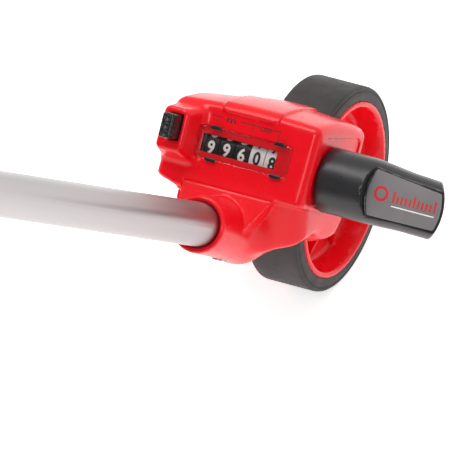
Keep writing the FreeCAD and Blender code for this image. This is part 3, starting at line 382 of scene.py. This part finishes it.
def clear_plastic():
    """The window's clear plastic: it lets light straight through and shines at its edges and its bevels."""
    made = material("clear_plastic", (1.0, 1.0, 1.0), 0.03)
    tree = made.node_tree
    through = node(tree, "ShaderNodeBsdfTransparent", Color=(0.97, 0.97, 0.97, 1.0))
    shine = node(tree, "ShaderNodeBsdfGlossy")
    tree.links.new(spread(tree, noise(tree, 300.0), 0.02, 0.06), shine.inputs["Roughness"])
    edge = node(tree, "ShaderNodeLayerWeight", Blend=0.2)
    mixed = tree.nodes.new("ShaderNodeMixShader")
    tree.links.new(edge.outputs["Facing"], mixed.inputs["Fac"])
    tree.links.new(through.outputs["BSDF"], mixed.inputs[1])
    tree.links.new(shine.outputs["BSDF"], mixed.inputs[2])
    tree.links.new(mixed.outputs["Shader"], tree.nodes["Material Output"].inputs["Surface"])
    return made


CLEAR = clear_plastic()


def paint(piece, *materials):
    """Gives a piece its materials, in place of any it had."""
    piece.data.materials.clear()
    for one in materials:
        piece.data.materials.append(one)
    return piece


# ---------------------------------------------------------------- stage

# each lamp's name, its place from the object, its width in metres and its power in watts
LAMPS = [
    ("overhead", (-0.3, 0.1, 1.6), 0.8, 10.5),
    ("front_key", (0.45, -1.1, 1.3), 0.4, 6.0),
    ("left_high", (-1.0, -0.1, 1.4), 0.6, 2.0),
]
# how far toward the user of the wheel's centre the lamps are aimed, in metres
LAMP_AIM = 0.06
FLOOR_GLOW = 0.68
# the surroundings' colour, and how bright they are before the object and behind it
SKY, SKY_DIM, SKY_BRIGHT = (1, 0.965, 0.94, 1), 0.1, 0.85


def pale_floor():
    """A plain pale floor that glows a little, so that it stays even."""
    bpy.ops.mesh.primitive_plane_add(size=60.0, location=(0, 0, 0))
    floor = bpy.context.object
    floor.name = "floor"
    glow = {"Emission_Color": (1, 1, 1, 1), "Emission_Strength": FLOOR_GLOW}
    paint(floor, material("floor_pale", (0.86, 0.86, 0.86), 0.9, **glow))


def surroundings():
    """Warm white surroundings that are bright behind the object and dim before it."""
    world = bpy.data.worlds.new("studio")
    bpy.context.scene.world = world
    world.use_nodes = True
    tree = world.node_tree
    place = tree.nodes.new("ShaderNodeTexCoord")
    direction = tree.nodes.new("ShaderNodeSeparateXYZ")
    tree.links.new(place.outputs["Generated"], direction.inputs["Vector"])
    strength = spread(tree, direction.outputs["Y"], SKY_DIM, SKY_BRIGHT, -0.75, 0.5)
    tree.links.new(strength, tree.nodes["Background"].inputs["Strength"])
    tree.nodes["Background"].inputs["Color"].default_value = SKY


def lamps():
    """Soft square lamps round the counter's face, each aimed at it."""
    centre = STAND @ Vector((0, -LAMP_AIM, 0))
    for name, offset, width, power in LAMPS:
        lamp = bpy.data.lights.new(name, "AREA")
        lamp.shape = "SQUARE"
        lamp.size = width
        lamp.energy = power
        holder = bpy.data.objects.new(name, lamp)
        bpy.context.scene.collection.objects.link(holder)
        holder.location = centre + Vector(offset)
        holder.rotation_euler = (centre - holder.location).to_track_quat("-Z", "Y").to_euler()


# the camera's axes in the instrument's own, where it aims along them in mm, and its distance and the
# width that it sees there in metres
TO_EYE, EYE_RIGHT = (0.3827, -0.9232, 0.0382), (0.893, 0.380, 0.241)
AIM_RIGHT, AIM_UP = -33.4, -17.7
EYE_DISTANCE, VIEW_WIDTH = 6.0, 0.1732


def camera():
    """A long lens that looks at the counter's face from its right, with the pole coming toward it."""
    to_eye = Vector(TO_EYE).normalized()
    right = Vector(EYE_RIGHT).normalized()
    up = to_eye.cross(right).normalized()
    right = up.cross(to_eye)
    aim = (right * AIM_RIGHT + up * AIM_UP) * MM
    turn = STAND.to_3x3()
    axes = Matrix([turn @ right, turn @ up, turn @ to_eye]).transposed().to_4x4()
    lens = bpy.data.cameras.new("camera")
    lens.sensor_width = 36.0
    lens.lens = lens.sensor_width * EYE_DISTANCE / VIEW_WIDTH
    lens.clip_end = 100.0
    holder = bpy.data.objects.new("camera", lens)
    bpy.context.scene.collection.objects.link(holder)
    holder.matrix_world = Matrix.Translation(STAND @ (aim + to_eye * EYE_DISTANCE)) @ axes
    bpy.context.scene.camera = holder


# ---------------------------------------------------------------- housing

# the wheel's well
WELL_RADIUS, SLOT_LEFT, SLOT_RIGHT = 40.6, -12.5, 13.0
SEAM_GAP = 0.02
FACE, WALL = 65.0, 2.0
POLE_X, POLE_Z, TUBE_RADIUS = -8.0, -23.1, 8.35
COUNTER_Y, COUNTER_Z = -52.6, 5.2
# the sinks of the screws driven in from below: across, toward the user, and the height of each one's floor
SINKS = [(-33.4, 60.0, -8.6), (-33.4, 44.4, -8.6), (-8.0, 58.0, -34.1)]
SINK_RADIUS, SINK_PAD_RADIUS = 2.8, 4.2
# how far toward the user the pole's bore and the lower shell's tray begin
BORE_END = 46.0
CELL = 0.42


def roof_height(x, p):
    """The crowned roof."""
    crown = 0.0028 - 0.000056 * (p - 40.0)
    return 27.2 - 0.0052 * (p - 34.0) ** 2 - crown * (x + 1.0) ** 2


def fold_height(x):
    """The face's lower edge, where the lower shell begins."""
    return np.interp(x, [-37.3, -30.0, -27.4, -25.8, 24.0], [-9.6, -11.8, -12.0, -8.8, -8.8])


def clear_of_wheel(y, z, x):
    """The space that the shells may fill: they stop short of the wheel beside the gear case."""
    p = -y
    over_wheel = np.maximum(31.5 - p, SLOT_LEFT - x)
    arm = np.maximum(21.5 - p, SLOT_RIGHT - x)
    return np.minimum(np.minimum(41.0 - p, over_wheel), arm)


def wheel_well(x, y, z):
    """The slot that the wheel turns in."""
    return np.maximum(np.hypot(y, z) - WELL_RADIUS, slab(x, SLOT_LEFT, SLOT_RIGHT))


def left_wall(x, z):
    """The drafted wall on the gear case's side."""
    return -x - 37.9 + 0.06 * z


def right_wall(x, z):
    """The drafted wall on the side grip's side."""
    return x - 22.4 - 0.03 * z


def upper_block(x, y, z):
    """The outside of the counter housing: face, crowned roof and drafted side walls."""
    p = -y
    body = rounded_and(p - FACE, z - roof_height(x, p), 2.4)
    body = rounded_and(body, left_wall(x, z), 2.6)
    body = rounded_and(body, right_wall(x, z), 3.6)
    return rounded_and(body, fold_height(x) - z, 1.7)


ARM_OUTLINE = [(70, 0), (70, 60), (21.5, 60), (21.5, -10.4), (24.1, -15.7), (28.8, -17.0), (38.8, -15.9),
               (43.3, -16.3), (47.3, -18.4), (56.5, -22.8), (65.0, -8.0), (70, -6)]


def lower_lobe(x, y, z):
    """The lower body: it leans back under the face, rises to the left and runs into the notched lobe."""
    p = -y
    front = 0.9 * (p - 62.6) - 0.436 * (z + 8.0)
    right_floor = 0.421 * (x - 23.0) - 0.907 * (z + 22.8)
    left_floor = -0.387 * (x + 37.7) - 0.922 * (z + 10.0)
    body = rounded_and(front, right_floor, 2.6)
    body = rounded_and(body, left_floor, 1.2)
    body = rounded_and(rounded_and(body, left_wall(x, z), 2.0), right_wall(x, z), 6.0)
    lowered = z + 0.464 * (23.0 - x)
    outline = round_corners([(float(a), float(b)) for a, b in ARM_OUTLINE], 2.4, 3)
    body = rounded_and(body, polygon(p, lowered, outline) * 0.9, 2.4)
    return np.maximum(body, z + 6.0)


def collar(x, y, z):
    """The belly round the pole, narrowing to the collar's rounded mouth."""
    p = -y
    across = np.hypot(x - POLE_X, z - POLE_Z)
    radius = 10.85 + 0.026 * (86.0 - p) + 0.0019 * np.maximum(0, 70.0 - p) ** 2
    return rounded_and(across - np.minimum(radius, 12.7), slab(p, 44.0, 86.0), 1.1)


SHELF = [(-26.6, -6.8), (11.4, -7.6), (1.6, -25.5), (-2.0, -29.0), (-14.0, -29.0), (-25.4, -19.0)]


def shelf(x, y, z):
    """The flat plate under the face, with crisp edges, that the collar grows out of."""
    p = -y
    front = (p - 65.0 + 0.23 * (z + 6.8)) * 0.975
    return rounded_and(np.maximum(polygon(x, z, SHELF), 54.0 - p), front, 0.25)


def shells(x, y, z):
    """Both shells' common outside."""
    lobe = rounded_or(lower_lobe(x, y, z), collar(x, y, z), 7.0)
    lobe = rounded_or(lobe, shelf(x, y, z), 0.15)
    body = rounded_or(upper_block(x, y, z), lobe, 0.8)
    body = rounded_and(body, clear_of_wheel(y, z, x), 1.8)
    return rounded_cut(body, wheel_well(x, y, z), 0.5)


def boss(x, y, z):
    """The tapered boss round the reset key."""
    p = -y
    right = slope(x, p, (-23.6, 65.0), (-27.0, 74.0))
    low = -slope(z, p, (-3.0, 65.0), (0.6, 74.0))
    high = slope(z, p, (18.6, 65.0), (16.6, 74.0))
    body = rounded_and(right, high, 2.6)
    body = rounded_and(body, low, 2.6)
    body = rounded_and(body, -x - 37.6 + 0.04 * z, 2.0)
    return rounded_and(rounded_and(body, p - 74.0, 1.0), 60.0 - p, 0.1)


def tongue(x, y, z):
    """The raised pad that comes over the roof and down onto the face."""
    plan = rounded_and(np.abs(x + 6.1) - 12.1, 19.2 - z, 2.4)
    return rounded_and(plan, shells(x, y, z) - 0.9, 0.9)


def counter_space(x, y, z):
    """The hollow for the counter and the gears."""
    p = -y
    room = np.maximum(slab(x, -35.0, 20.4), p - 63.2)
    room = np.maximum(room, z - roof_height(x, p) + WALL)
    well_wall = np.maximum(np.hypot(y, z) - WELL_RADIUS - 1.4, slab(x, SLOT_LEFT - 2.0, SLOT_RIGHT + 2.0))
    room = np.maximum(room, -well_wall)
    rear = np.where(x > SLOT_LEFT, 33.5, np.where(z > 19.3, 43.0, 39.0))
    room = np.maximum(room, rear - p)
    room = np.maximum(room, np.where(p > 50.0, shells(x, y, z) + 1.6, room))
    for sink_x, sink_p, floor in SINKS:
        pad = np.maximum(np.hypot(x - sink_x, p - sink_p) - SINK_PAD_RADIUS, z - floor - WALL)
        room = np.maximum(room, -pad)
    return room


def screw_sinks(x, p, z):
    """The sinks round the heads of the screws that are driven in from below."""
    space = np.full_like(x, FAR)
    for sink_x, sink_p, floor in SINKS:
        sink = np.maximum(np.hypot(x - sink_x, p - sink_p) - SINK_RADIUS, z - floor)
        space = np.minimum(space, sink)
    return space


def window_outline(margin):
    """The lens's outline in (x, z), with rounded left corners."""
    low, high, left, right = 0.4 - margin, 12.7 + margin, -24.4 - margin, 13.3 + margin
    return round_corners([(right, low), (right, high), (left, high), (left, low)], 1.6, 4)


def side_panel(x, y, z):
    """The shallow recess in the arm's outer side."""
    p = -y
    plan = polygon(p, z, round_corners([(58.5, 19.0), (25.0, 21.0), (24.6, -6.5), (61.5, -6.5)], 3.0, 4))
    return np.maximum(plan, -right_wall(x, z) - 0.6)


def counter_housing_field(x, y, z):
    """The upper shell: the outside with its pad and boss, less the hollow and every opening in the face."""
    p = -y
    body = rounded_or(shells(x, y, z), tongue(x, y, z), 0.1)
    body = rounded_or(body, boss(x, y, z), 2.2)
    body = rounded_cut(body, side_panel(x, y, z), 0.3)
    body = np.maximum(body, fold_height(x) + SEAM_GAP - z)
    body = np.maximum(body, -counter_space(x, y, z))
    body = np.maximum(body, -screw_sinks(x, p, z))
    seat = np.maximum(polygon(x, z, window_outline(0.12)), 64.0 - p)
    body = rounded_cut(body, seat, 0.3)
    window = brick(x, p, z, (-23.5, 55.0, 2.9), (7.2, 75.0, 9.7), 0.3)
    body = rounded_cut(body, window, 0.2)
    key_way = brick(x, p, z, (-34.3, 55.0, 4.4), (-28.8, 90.0, 14.5), 0.4)
    return rounded_cut(body, key_way, 0.5)


def lower_housing_field(x, y, z):
    """The lower shell: shelf, belly, collar and lobe, with a tray for the counter and screw sinks."""
    p = -y
    outside = shells(x, y, z)
    body = np.maximum(outside, z - fold_height(x) + SEAM_GAP)
    across = np.hypot(x - POLE_X, z - POLE_Z)
    body = np.maximum(body, -np.maximum(across - TUBE_RADIUS - 0.02, BORE_END - p))
    mouth = across - TUBE_RADIUS - 0.9 * np.clip(p - 84.6, 0, None)
    body = rounded_cut(body, np.maximum(mouth, 80.0 - p), 0.2)
    tray = np.maximum(np.maximum(outside + WALL, -12.4 - z), BORE_END - p)
    tray = np.maximum(np.maximum(tray, 11.0 - across), x - SLOT_RIGHT)
    body = np.maximum(body, -tray)
    return np.maximum(body, -screw_sinks(x, p, z))


def housing():
    """Both shells of the housing."""
    upper = moulded(counter_housing_field, (-38, -75, -12.5), (24, -20, 29), CELL)
    paint(new_object("counter_shell", upper, "housing", "counter_housing", slot="red_plastic"), RED)
    lower = moulded(lower_housing_field, (-38, -87, -37), (24, -20, -8), CELL)
    paint(new_object("lower_shell", lower, "housing", "lower_housing", slot="red_plastic"), RED)


# the gear case's outline, forward and up
CASE = [
    (-40.8, -18.0), (-40.8, 19.5), (10.5, 19.5), (19.5, 10.5), (19.5, -10.5), (10.5, -19.5), (-32.0, -19.5)
]
COVER_SCREWS = [(15.0, 8.0), (15.0, -8.0), (-30.0, 17.0), (-30.0, -17.0)]


def case_field(x, y, z):
    """The left case round the gears, open toward its cover and toward the counter."""
    plan = polygon(y, z, round_corners(CASE, 2.0, 4))
    body = rounded_and(plan, slab(x, -36.0, SLOT_LEFT), 1.2)
    room = [(-45.0, -12.2), (-45.0, 17.5), (9.7, 17.5), (17.5, 9.7), (17.5, -9.7), (9.7, -17.5),
            (-31.2, -17.5), (-38.9, -16.0), (-38.9, -12.2)]
    body = np.maximum(body, -np.maximum(polygon(y, z, room), x - SLOT_LEFT + 2.0))
    low, high = own_place("idler_gear")
    across = np.hypot(y - (low[1] + high[1]) / 2, z - (low[2] + high[2]) / 2)
    way = np.maximum(across - (high[1] - low[1]) / 2 - 0.6, slab(x, low[0] - 0.8, high[0] + 0.8))
    body = np.maximum(body, -way)
    axle_hole = np.hypot(y, z) - 5.0
    return np.maximum(body, -axle_hole)


def cover_field(x, y, z):
    """The gear case's cover: a raised field inside a bevelled border, with a round pad over the axle."""
    plan = polygon(y, z, round_corners(CASE, 2.0, 4))
    body = rounded_and(plan, slab(x, -38.0, -36.0), 0.9)
    pad = rounded_and(np.hypot(y, z) - 12.0, slab(x, -38.7, -37.0), 0.5)
    body = rounded_or(body, pad, 0.4)
    groove = np.maximum(np.abs(plan + 3.2) - 0.45, x + 37.5)
    body = rounded_cut(body, groove, 0.2)
    ring = np.maximum(np.abs(np.hypot(y, z) - 8.5) - 0.4, x + 38.2)
    body = rounded_cut(body, ring, 0.15)
    for screw_y, screw_z in COVER_SCREWS:
        hole = np.hypot(y - screw_y, z - screw_z) - 1.3
        body = np.maximum(body, -hole)
    return body


def gear_case():
    """The case on the wheel's left and its cover."""
    case = moulded(case_field, (-36, -41, -20), (-12.5, 20, 20), 0.5)
    paint(new_object("gear_shell", case, "housing", "gear_case", slot="red_plastic"), RED)
    cover = moulded(cover_field, (-39, -41, -20), (-36, 20, 20), 0.4)
    paint(new_object("gear_cover", cover, "housing", "gear_case_cover", slot="red_plastic"), RED)


# ---------------------------------------------------------------- wheel


def tyre():
    """The tyre: a smooth tread with rounded shoulders, a groove round each side and a bead on the rim."""
    half = [(10.2, 34.62), (10.95, 34.05), (11.0, 36.4), (10.75, 37.7), (10.2, 38.1), (10.75, 38.6),
            (10.55, 39.2), (10.1, 39.6), (9.4, 39.8)]
    outline = [(-a, r) for a, r in half] + [(-5.0, 39.8), (0.0, 39.8), (5.0, 39.8)] + half[::-1]
    outline = round_corners(outline, 0.35, 3)
    paint(new_object("tyre_body", lathe(outline, 192), "wheel", "tyre", slot="tyre"), RUBBER)


RIBS = 8


def rim_field(x, y, z):
    """The dished rim: a lipped ring, a web, a hub boss, and gusset ribs on each side."""
    r = np.hypot(y, z)
    side = np.abs(x)
    inner = 30.0 + 2.2 * np.clip(side - 1.5, 0, None) / 10.3
    outer = 34.6 - 0.8 * np.clip(side - 10.2, 0, None)
    ring = rounded_and(np.maximum(r - outer, inner - r), side - 11.0, 0.2)
    lip = rounded_and(rounded_and(r - 34.1, inner + 0.2 - r, 0.4), np.abs(side - 11.2) - 0.3, 0.3)
    ring = rounded_or(ring, lip, 0.4)
    web = np.maximum(side - 1.5, r - 32.0)
    body = rounded_or(ring, web, 1.6)
    hub = rounded_and(r - 12.0, np.where(x > 0, x - 9.0, -x - 10.5), 0.8)
    body = rounded_or(body, hub, 1.2)
    turn = np.arctan2(z, y)
    sector = 2 * math.pi / RIBS
    off = (turn - sector * np.round(turn / sector)) * r
    crest = np.interp(r, [12.0, 30.0], [8.0, 3.2])
    ribs = rounded_and(np.abs(off) - 0.9, side - crest, 0.4)
    ribs = np.maximum(np.maximum(ribs, r - 31.0), 8.0 - r)
    body = rounded_or(body, ribs, 0.7)
    axle_hole = r - 4.0
    return np.maximum(body, -axle_hole)


def rim():
    """The red rim inside the tyre."""
    mesh = moulded(rim_field, (-12, -35, -35), (12, 35, 35), 0.5)
    paint(new_object("rim_body", mesh, "wheel", "wheel_rim", slot="red_plastic"), RED)


def hub_cap():
    """The domed screw cap and its washer at the wheel's centre."""
    cap = [(9.8, 1.95), (9.8, 3.6), (10.6, 3.6), (11.2, 3.2), (11.55, 2.2), (11.6, 0.0), (5.0, 0.0),
           (5.0, 1.85)]
    mesh = lathe(round_corners(cap, 0.2, 3), 48)
    paint(new_object("hub_cap", mesh, "wheel", "hub_screw", slot="steel"), STEEL)
    washer = [(9.02, 2.0), (9.02, 7.0), (9.8, 7.0), (9.8, 2.0)]
    mesh = lathe(round_corners(washer, 0.25, 3), 64)
    paint(new_object("hub_disc", mesh, "wheel", "hub_washer", slot="steel"), STEEL)


# ---------------------------------------------------------------- counter

DRUMS = ["hundred_metre", "ten_metre", "metre", "decimetre", "centimetre"]
DRUM_RADIUS, DRUM_WIDTH, DRUM_PITCH, FIRST_DRUM = 10.2, 6.0, 6.35, -22.8
# what each drum shows at rest, and how far its digit has already turned past the middle, in degrees
SHOWN = [(9, -1.0), (9, 0.5), (6, -0.5), (0, 0.0), (8, -3.0)]
DIGIT_HEIGHT, DIGIT_WIDTH, ONE_WIDTH, DIGIT_WEIGHT = 5.2, 2.9, 1.5, 0.3
DARK_DRUMS = 3


def flat_text(text, height, width, weight=0.0, depth=0.04):
    """A closed, thin mesh of some text in (x, y), centred on the origin, in mm."""
    curve = bpy.data.curves.new("text", "FONT")
    curve.body = text
    curve.size = 10.0
    curve.offset = weight
    curve.extrude = depth
    curve.resolution_u = 6
    holder = bpy.data.objects.new("text", curve)
    mesh = bpy.data.meshes.new_from_object(holder)
    bpy.data.objects.remove(holder)
    bpy.data.curves.remove(curve)
    points = np.array([v.co[:] for v in mesh.vertices])
    low, high = points.min(axis=0), points.max(axis=0)
    scale = np.array([width / (high[0] - low[0]), height / (high[1] - low[1]), 1.0])
    points = (points - (low + high) / 2) * scale
    mesh.vertices.foreach_set("co", points.ravel())
    return mesh


def welded_text(text, height, width, weight):
    """Some text's mesh, and a bmesh of it with its doubled points merged."""
    mesh = flat_text(text, height, width, weight)
    piece = bmesh.new()
    piece.from_mesh(mesh)
    bmesh.ops.remove_doubles(piece, verts=piece.verts, dist=1e-4)
    return mesh, piece


def wrapped_text(work, text, centre, turn, height, width, weight):
    """Adds text wrapped on a drum to a bmesh; turn is its middle's angle below the front, in radians."""
    mesh, piece = welded_text(text, height, width, weight)
    for cut in np.arange(-height / 2 + 0.5, height / 2, 0.6):
        bmesh.ops.bisect_plane(piece, geom=piece.verts[:] + piece.edges[:] + piece.faces[:], dist=1e-5,
                               plane_co=(0, cut, 0), plane_no=(0, 1, 0))
    for v in piece.verts:
        angle = v.co.y / DRUM_RADIUS - turn
        radius = DRUM_RADIUS + 0.03 + v.co.z
        v.co = (centre + v.co.x, COUNTER_Y - radius * math.cos(angle), COUNTER_Z + radius * math.sin(angle))
    bmesh.ops.recalc_face_normals(piece, faces=piece.faces)
    piece.to_mesh(mesh)
    piece.free()
    work.from_mesh(mesh)
    bpy.data.meshes.remove(mesh)


def drum_digits():
    """The digits round each drum, the next higher one coming from below."""
    step = math.radians(36.0)
    for place, (name, (shown, ahead)) in enumerate(zip(DRUMS, SHOWN)):
        centre = FIRST_DRUM + DRUM_PITCH * place + DRUM_WIDTH / 2
        work = bmesh.new()
        for digit in range(10):
            turn = (digit - shown) * step - math.radians(ahead)
            width = ONE_WIDTH if digit == 1 else DIGIT_WIDTH
            wrapped_text(work, str(digit), centre, turn, DIGIT_HEIGHT, width, DIGIT_WEIGHT)
        mesh = finished(work, "digits")
        dark = place < DARK_DRUMS
        ink = INK_WHITE if dark else INK_BLACK
        slot = "white_plastic" if dark else "black_plastic"
        paint(new_object(f"{name}_digits", mesh, f"{name}_counter", slot=slot), ink)


def lens():
    """The clear lens over the drums, with bevelled edges."""
    def field(x, y, z):
        return rounded_and(polygon(x, z, window_outline(-0.02)), slab(-y, 64.02, 65.6), 0.35)

    mesh = moulded(field, (-25, -66, 0), (14, -64, 13), 0.3)
    paint(new_object("lens", mesh, "housing", "counter_window", slot="clear_plastic"), CLEAR)


def clips():
    """Four small black clips that hold the lens by its long edges; their black is also painted shade, standing for
    the dark slots that the lens's snap tabs sit in.
    """
    places = [(-20.6, 11.9), (6.0, 11.9), (-20.0, 0.0), (6.8, 0.0)]

    def field(x, y, z):
        body = np.full_like(x, FAR)
        for left, low in places:
            plate = brick(x, -y, z, (left, 65.55, low), (left + 4.6, 66.15, low + 1.15), 0.25)
            foot_low = low + 0.85 if low > 5 else low - 0.35
            foot = brick(x, -y, z, (left + 0.6, 64.6, foot_low), (left + 4.0, 66.1, foot_low + 0.65), 0.2)
            body = np.minimum(body, rounded_or(plate, foot, 0.1))
        return body

    mesh = moulded(field, (-21.5, -66.5, -1), (12.5, -64, 14), 0.2)
    # painted shade: the clips' black plastic stands for the shade in the slots round the lens's snap tabs
    paint(new_object("lens_clips_and_slot_shade", mesh, "housing", "window_clips", slot="black_plastic"), BLACK)


def face_marks():
    """The bracket and the units printed above the window."""
    work = bmesh.new()
    level = [(left, right, 16.9) for left, right in ((-22.3, -17.0), (-9.6, -4.4), (-4.4, -1.6), (3.6, 7.0))]
    upright = [(left, left + 0.28, 14.7) for left in (-22.3, -4.4, 6.75)]
    for left, right, low in level + upright:
        add_box(work, (left, -FACE - 0.03, low), (right, -FACE + 0.1, 17.2))
    for text, x, width in (("m", -13.3, 3.6), ("cm", 1.0, 4.6)):
        mesh, piece = welded_text(text, 1.7, width, 0.1)
        for v in piece.verts:
            v.co = (x + v.co.x, -FACE - v.co.z, 16.5 + v.co.y)
        piece.to_mesh(mesh)
        piece.free()
        work.from_mesh(mesh)
    bmesh.ops.recalc_face_normals(work, faces=work.faces)
    paint(new_object("face_marks", finished(work, "marks"), "housing", slot="black_plastic"), INK_BLACK)


def reset_key():
    """The reset key: a black cap with three dimples, on its stem and link."""
    def field(x, y, z):
        p = -y
        cap = brick(x, p, z, (-34.0, 66.0, 4.7), (-29.1, 82.0, 14.2), 0.9)
        for height in (6.45, 9.45, 12.45):
            ball = np.sqrt((x + 31.55) ** 2 + (p - 82.95) ** 2 + (z - height) ** 2) - 1.6
            cap = rounded_cut(cap, ball, 0.15)
        stem = brick(x, p, z, (-33.6, 59.5, 6.2), (-30.4, 67.0, 13.2), 0.3)
        link = brick(x, p, z, (-33.6, 59.5, 8.7), (-30.4, 62.6, 18.4), 0.3)
        return np.minimum(np.minimum(cap, stem), link)

    mesh = moulded(field, (-34, -82, 4.7), (-29, -59.5, 18.4), 0.25)
    paint(new_object("reset_key", mesh, "reset", "reset_button", slot="black_plastic"), BLACK)


def reset_spring():
    """The key's coil spring, a copy of the CAD node's mesh as it stands."""
    mesh = frame["nodes"]["reset_spring"].data.copy()
    coil = paint(new_object("key_spring", mesh, "housing", "reset_spring", slot="steel", stand=False), STEEL)
    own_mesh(coil)


# ---------------------------------------------------------------- side grip

GRIP_Y, GRIP_Z, GRIP_START, GRIP_END = -46.8, 3.9, 23.0, 73.7
GRIP_FLAT, GRIP_SHOULDER = 7.3, 41.0
GRIP_DROOP, END_SLANT = math.radians(2.4), math.radians(22.0)
LABEL_FACE = GRIP_Y - GRIP_FLAT - 0.35


def grip_height(x):
    """The height of the handle's middle, which droops beyond its root."""
    return GRIP_Z - math.tan(GRIP_DROOP) * np.maximum(x - GRIP_SHOULDER, 0)


def grip_radius(x):
    """The handle's radius along it: a plain root, then a taper to its tip."""
    return np.interp(x, [GRIP_START, GRIP_SHOULDER, 56.0, GRIP_END], [12.45, 12.4, 11.3, 10.95])


def grip_end(z):
    """How far out the tip's bowed edge is."""
    return GRIP_END - 0.024 * (z - 2.7) ** 2


def grip_field(x, y, z):
    """The handle: a plain root, a drooping taper, an end that slants back, and a flat for the label."""
    across = np.hypot(y - GRIP_Y, z - grip_height(x))
    front = y - GRIP_Y + GRIP_FLAT
    end = (x - grip_end(z)) * math.cos(END_SLANT) + front * math.sin(END_SLANT)
    body = rounded_and(across - grip_radius(x), end, 1.0)
    body = rounded_and(body, GRIP_START - x, 0.3)
    arc = 41.4 + 0.025 * (z - GRIP_Z) ** 2
    body = rounded_cut(body, rounded_and(arc - x, front, 0.3), 0.3)
    return np.maximum(body, -np.maximum(across - 2.5, x - 38.0))


def label_outline():
    """The label's outline on the flat, in (x, z): an arc at its root, a bowed end, a taper between."""
    root = [(42.2 + 0.025 * z * z, GRIP_Z + z) for z in np.linspace(-8.8, 8.8, 13).tolist()]
    tip = [(grip_end(z) - 1.0, z) for z in np.linspace(9.6, -4.5, 9).tolist()]
    return root + tip


def label_field(x, y, z):
    """The label's film."""
    plan = polygon(x, z, round_corners(label_outline(), 0.9, 4))
    return rounded_and(plan, slab(y, LABEL_FACE, LABEL_FACE + 0.35), 0.15)


def side_grip():
    """The handle beside the wheel with its label."""
    mesh = moulded(grip_field, (23, -60, -9), (74, -34, 17), 0.4)
    paint(new_object("grip_handle", mesh, "housing", "side_grip", slot="black_plastic"), GRIP)
    mesh = moulded(label_field, (42, -54.6, -6), (73, -54, 14), 0.2)
    paint(new_object("label_film", mesh, "housing", "grip_label", slot="label"), LABEL)
    label_marks()


def label_marks():
    """Plain printing on the label: a ring at its root, then a scale with a line under it."""
    angles = np.linspace(0, 2 * math.pi, 25)[:-1].tolist()
    ring = [(47.9 + 2.4 * math.cos(a), 4.2 + 2.4 * math.sin(a)) for a in angles]
    bars = [(53.2 + 1.7 * i, 0.75, 1.9, 6.2 if i % 5 == 0 else 4.8) for i in range(11)]

    def ring_field(x, y, z):
        return np.maximum(np.abs(polygon(x, z, ring)) - 0.55, slab(y, LABEL_FACE - 0.05, LABEL_FACE + 0.05))

    mesh = moulded(ring_field, (44.5, -54.7, 0.8), (51.3, -54.3, 7.6), 0.1)
    paint(new_object("label_ring", mesh, "housing", slot="red_plastic"), INK_RED)
    for name, ink, slot, strokes in (
        ("label_scale", INK_RED, "red_plastic", bars),
        ("label_line", INK_WHITE, "white_plastic", [(61.7, 17.6, 0.3, 0.75)]),
    ):
        work = bmesh.new()
        for x, width, low, high in strokes:
            add_box(work, (x - width / 2, LABEL_FACE - 0.04, low), (x + width / 2, LABEL_FACE + 0.05, high))
        paint(new_object(name, finished(work, name), "housing", slot=slot), ink)


# ---------------------------------------------------------------- pole


COLLAR_REACH, COLLAR_LIP, COLLAR_RIBS, COLLAR_PLAY = 14.0, 6.0, 28, 0.05


def twist_collar(name, body, end, radius, outer, inner, replaced):
    """A clamping ring with rounded ends and fine lengthwise ribs round its middle."""
    start = end - COLLAR_REACH

    def field(x, y, z):
        p = -y
        across = np.hypot(x - POLE_X, z - POLE_Z)
        turn = np.arctan2(z - POLE_Z, x - POLE_X)
        fade = np.clip(2.0 - np.abs(p - end + 3.5) / 3.0, 0, 1)
        ribs = 0.28 * (0.5 - 0.5 * np.cos(turn * COLLAR_RIBS)) * fade
        side = rounded_and(across - radius + ribs, slab(p, start, end + COLLAR_LIP), 1.0)
        hole = np.where(p < end + 0.3, across - outer - COLLAR_PLAY, across - inner - COLLAR_PLAY)
        return np.maximum(side, -hole)

    low = (POLE_X - radius, -end - COLLAR_LIP, POLE_Z - radius)
    high = (POLE_X + radius, -start, POLE_Z + radius)
    paint(new_object(name, moulded(field, low, high, 0.4), body, replaced, slot="black_plastic"), BLACK)


def pole_end():
    """The foam grip at the pole's end, and its cap."""
    radius, inner = 11.5, 6.19
    start, end = 362.0, 454.0
    outline = [(-end, inner), (-end, radius - 1.0), (-end + 1.5, radius)]
    for ring in range(8):
        middle = -end + 13.0 + ring * 9.0
        outline += [(middle - 1.2, radius), (middle, radius - 0.55), (middle + 1.2, radius)]
    outline += [(-start - 5.0, radius), (-start - 1.2, radius - 2.0), (-start, radius - 3.2), (-start, inner)]
    mesh = lathe(round_corners(outline, 0.8, 3), 96, "Y")
    shift = Matrix.Translation((POLE_X, 0, POLE_Z))
    mesh.transform(shift)
    paint(new_object("grip_sleeve", mesh, "inner_stage", "pole_grip", slot="soft_rubber"), FOAM)
    cap = [(-457.0, 0.0), (-457.0, 7.5), (-456.0, 9.6), (-454.05, 10.3), (-454.05, 5.19), (-442.0, 5.19),
           (-442.0, 0.0)]
    mesh = lathe(round_corners(cap, 0.8, 4), 96, "Y")
    mesh.transform(shift)
    paint(new_object("end_cap", mesh, "inner_stage", "pole_cap", slot="black_plastic"), BLACK)


SLOT_PAINT = {
    "tyre": RUBBER, "red_plastic": RED, "black_plastic": BLACK, "white_plastic": WHITE,
    "clear_plastic": CLEAR, "steel": STEEL, "bronze": BRONZE, "aluminium": ALUMINIUM,
    "label": LABEL, "soft_rubber": FOAM,
}


def paint_frame():
    """Gives each carried-over CAD node the material of its slot."""
    for part in frame["record"]["subparts"]:
        paint(frame["nodes"][part["node"]], SLOT_PAINT[part["material_slot"]])


bpy.context.scene.view_settings.view_transform = "Standard"
pale_floor()
surroundings()
lamps()
camera()
paint_frame()
housing()
gear_case()
tyre()
rim()
hub_cap()
drum_digits()
lens()
clips()
face_marks()
reset_key()
reset_spring()
side_grip()
twist_collar("collar_ring", "clamp_ring", 330.0, 10.4, 8.35, 7.27, "twist_collar")
twist_collar("small_collar_ring", "small_clamp_ring", 352.0, 9.2, 7.27, 6.19, "small_twist_collar")
pole_end()
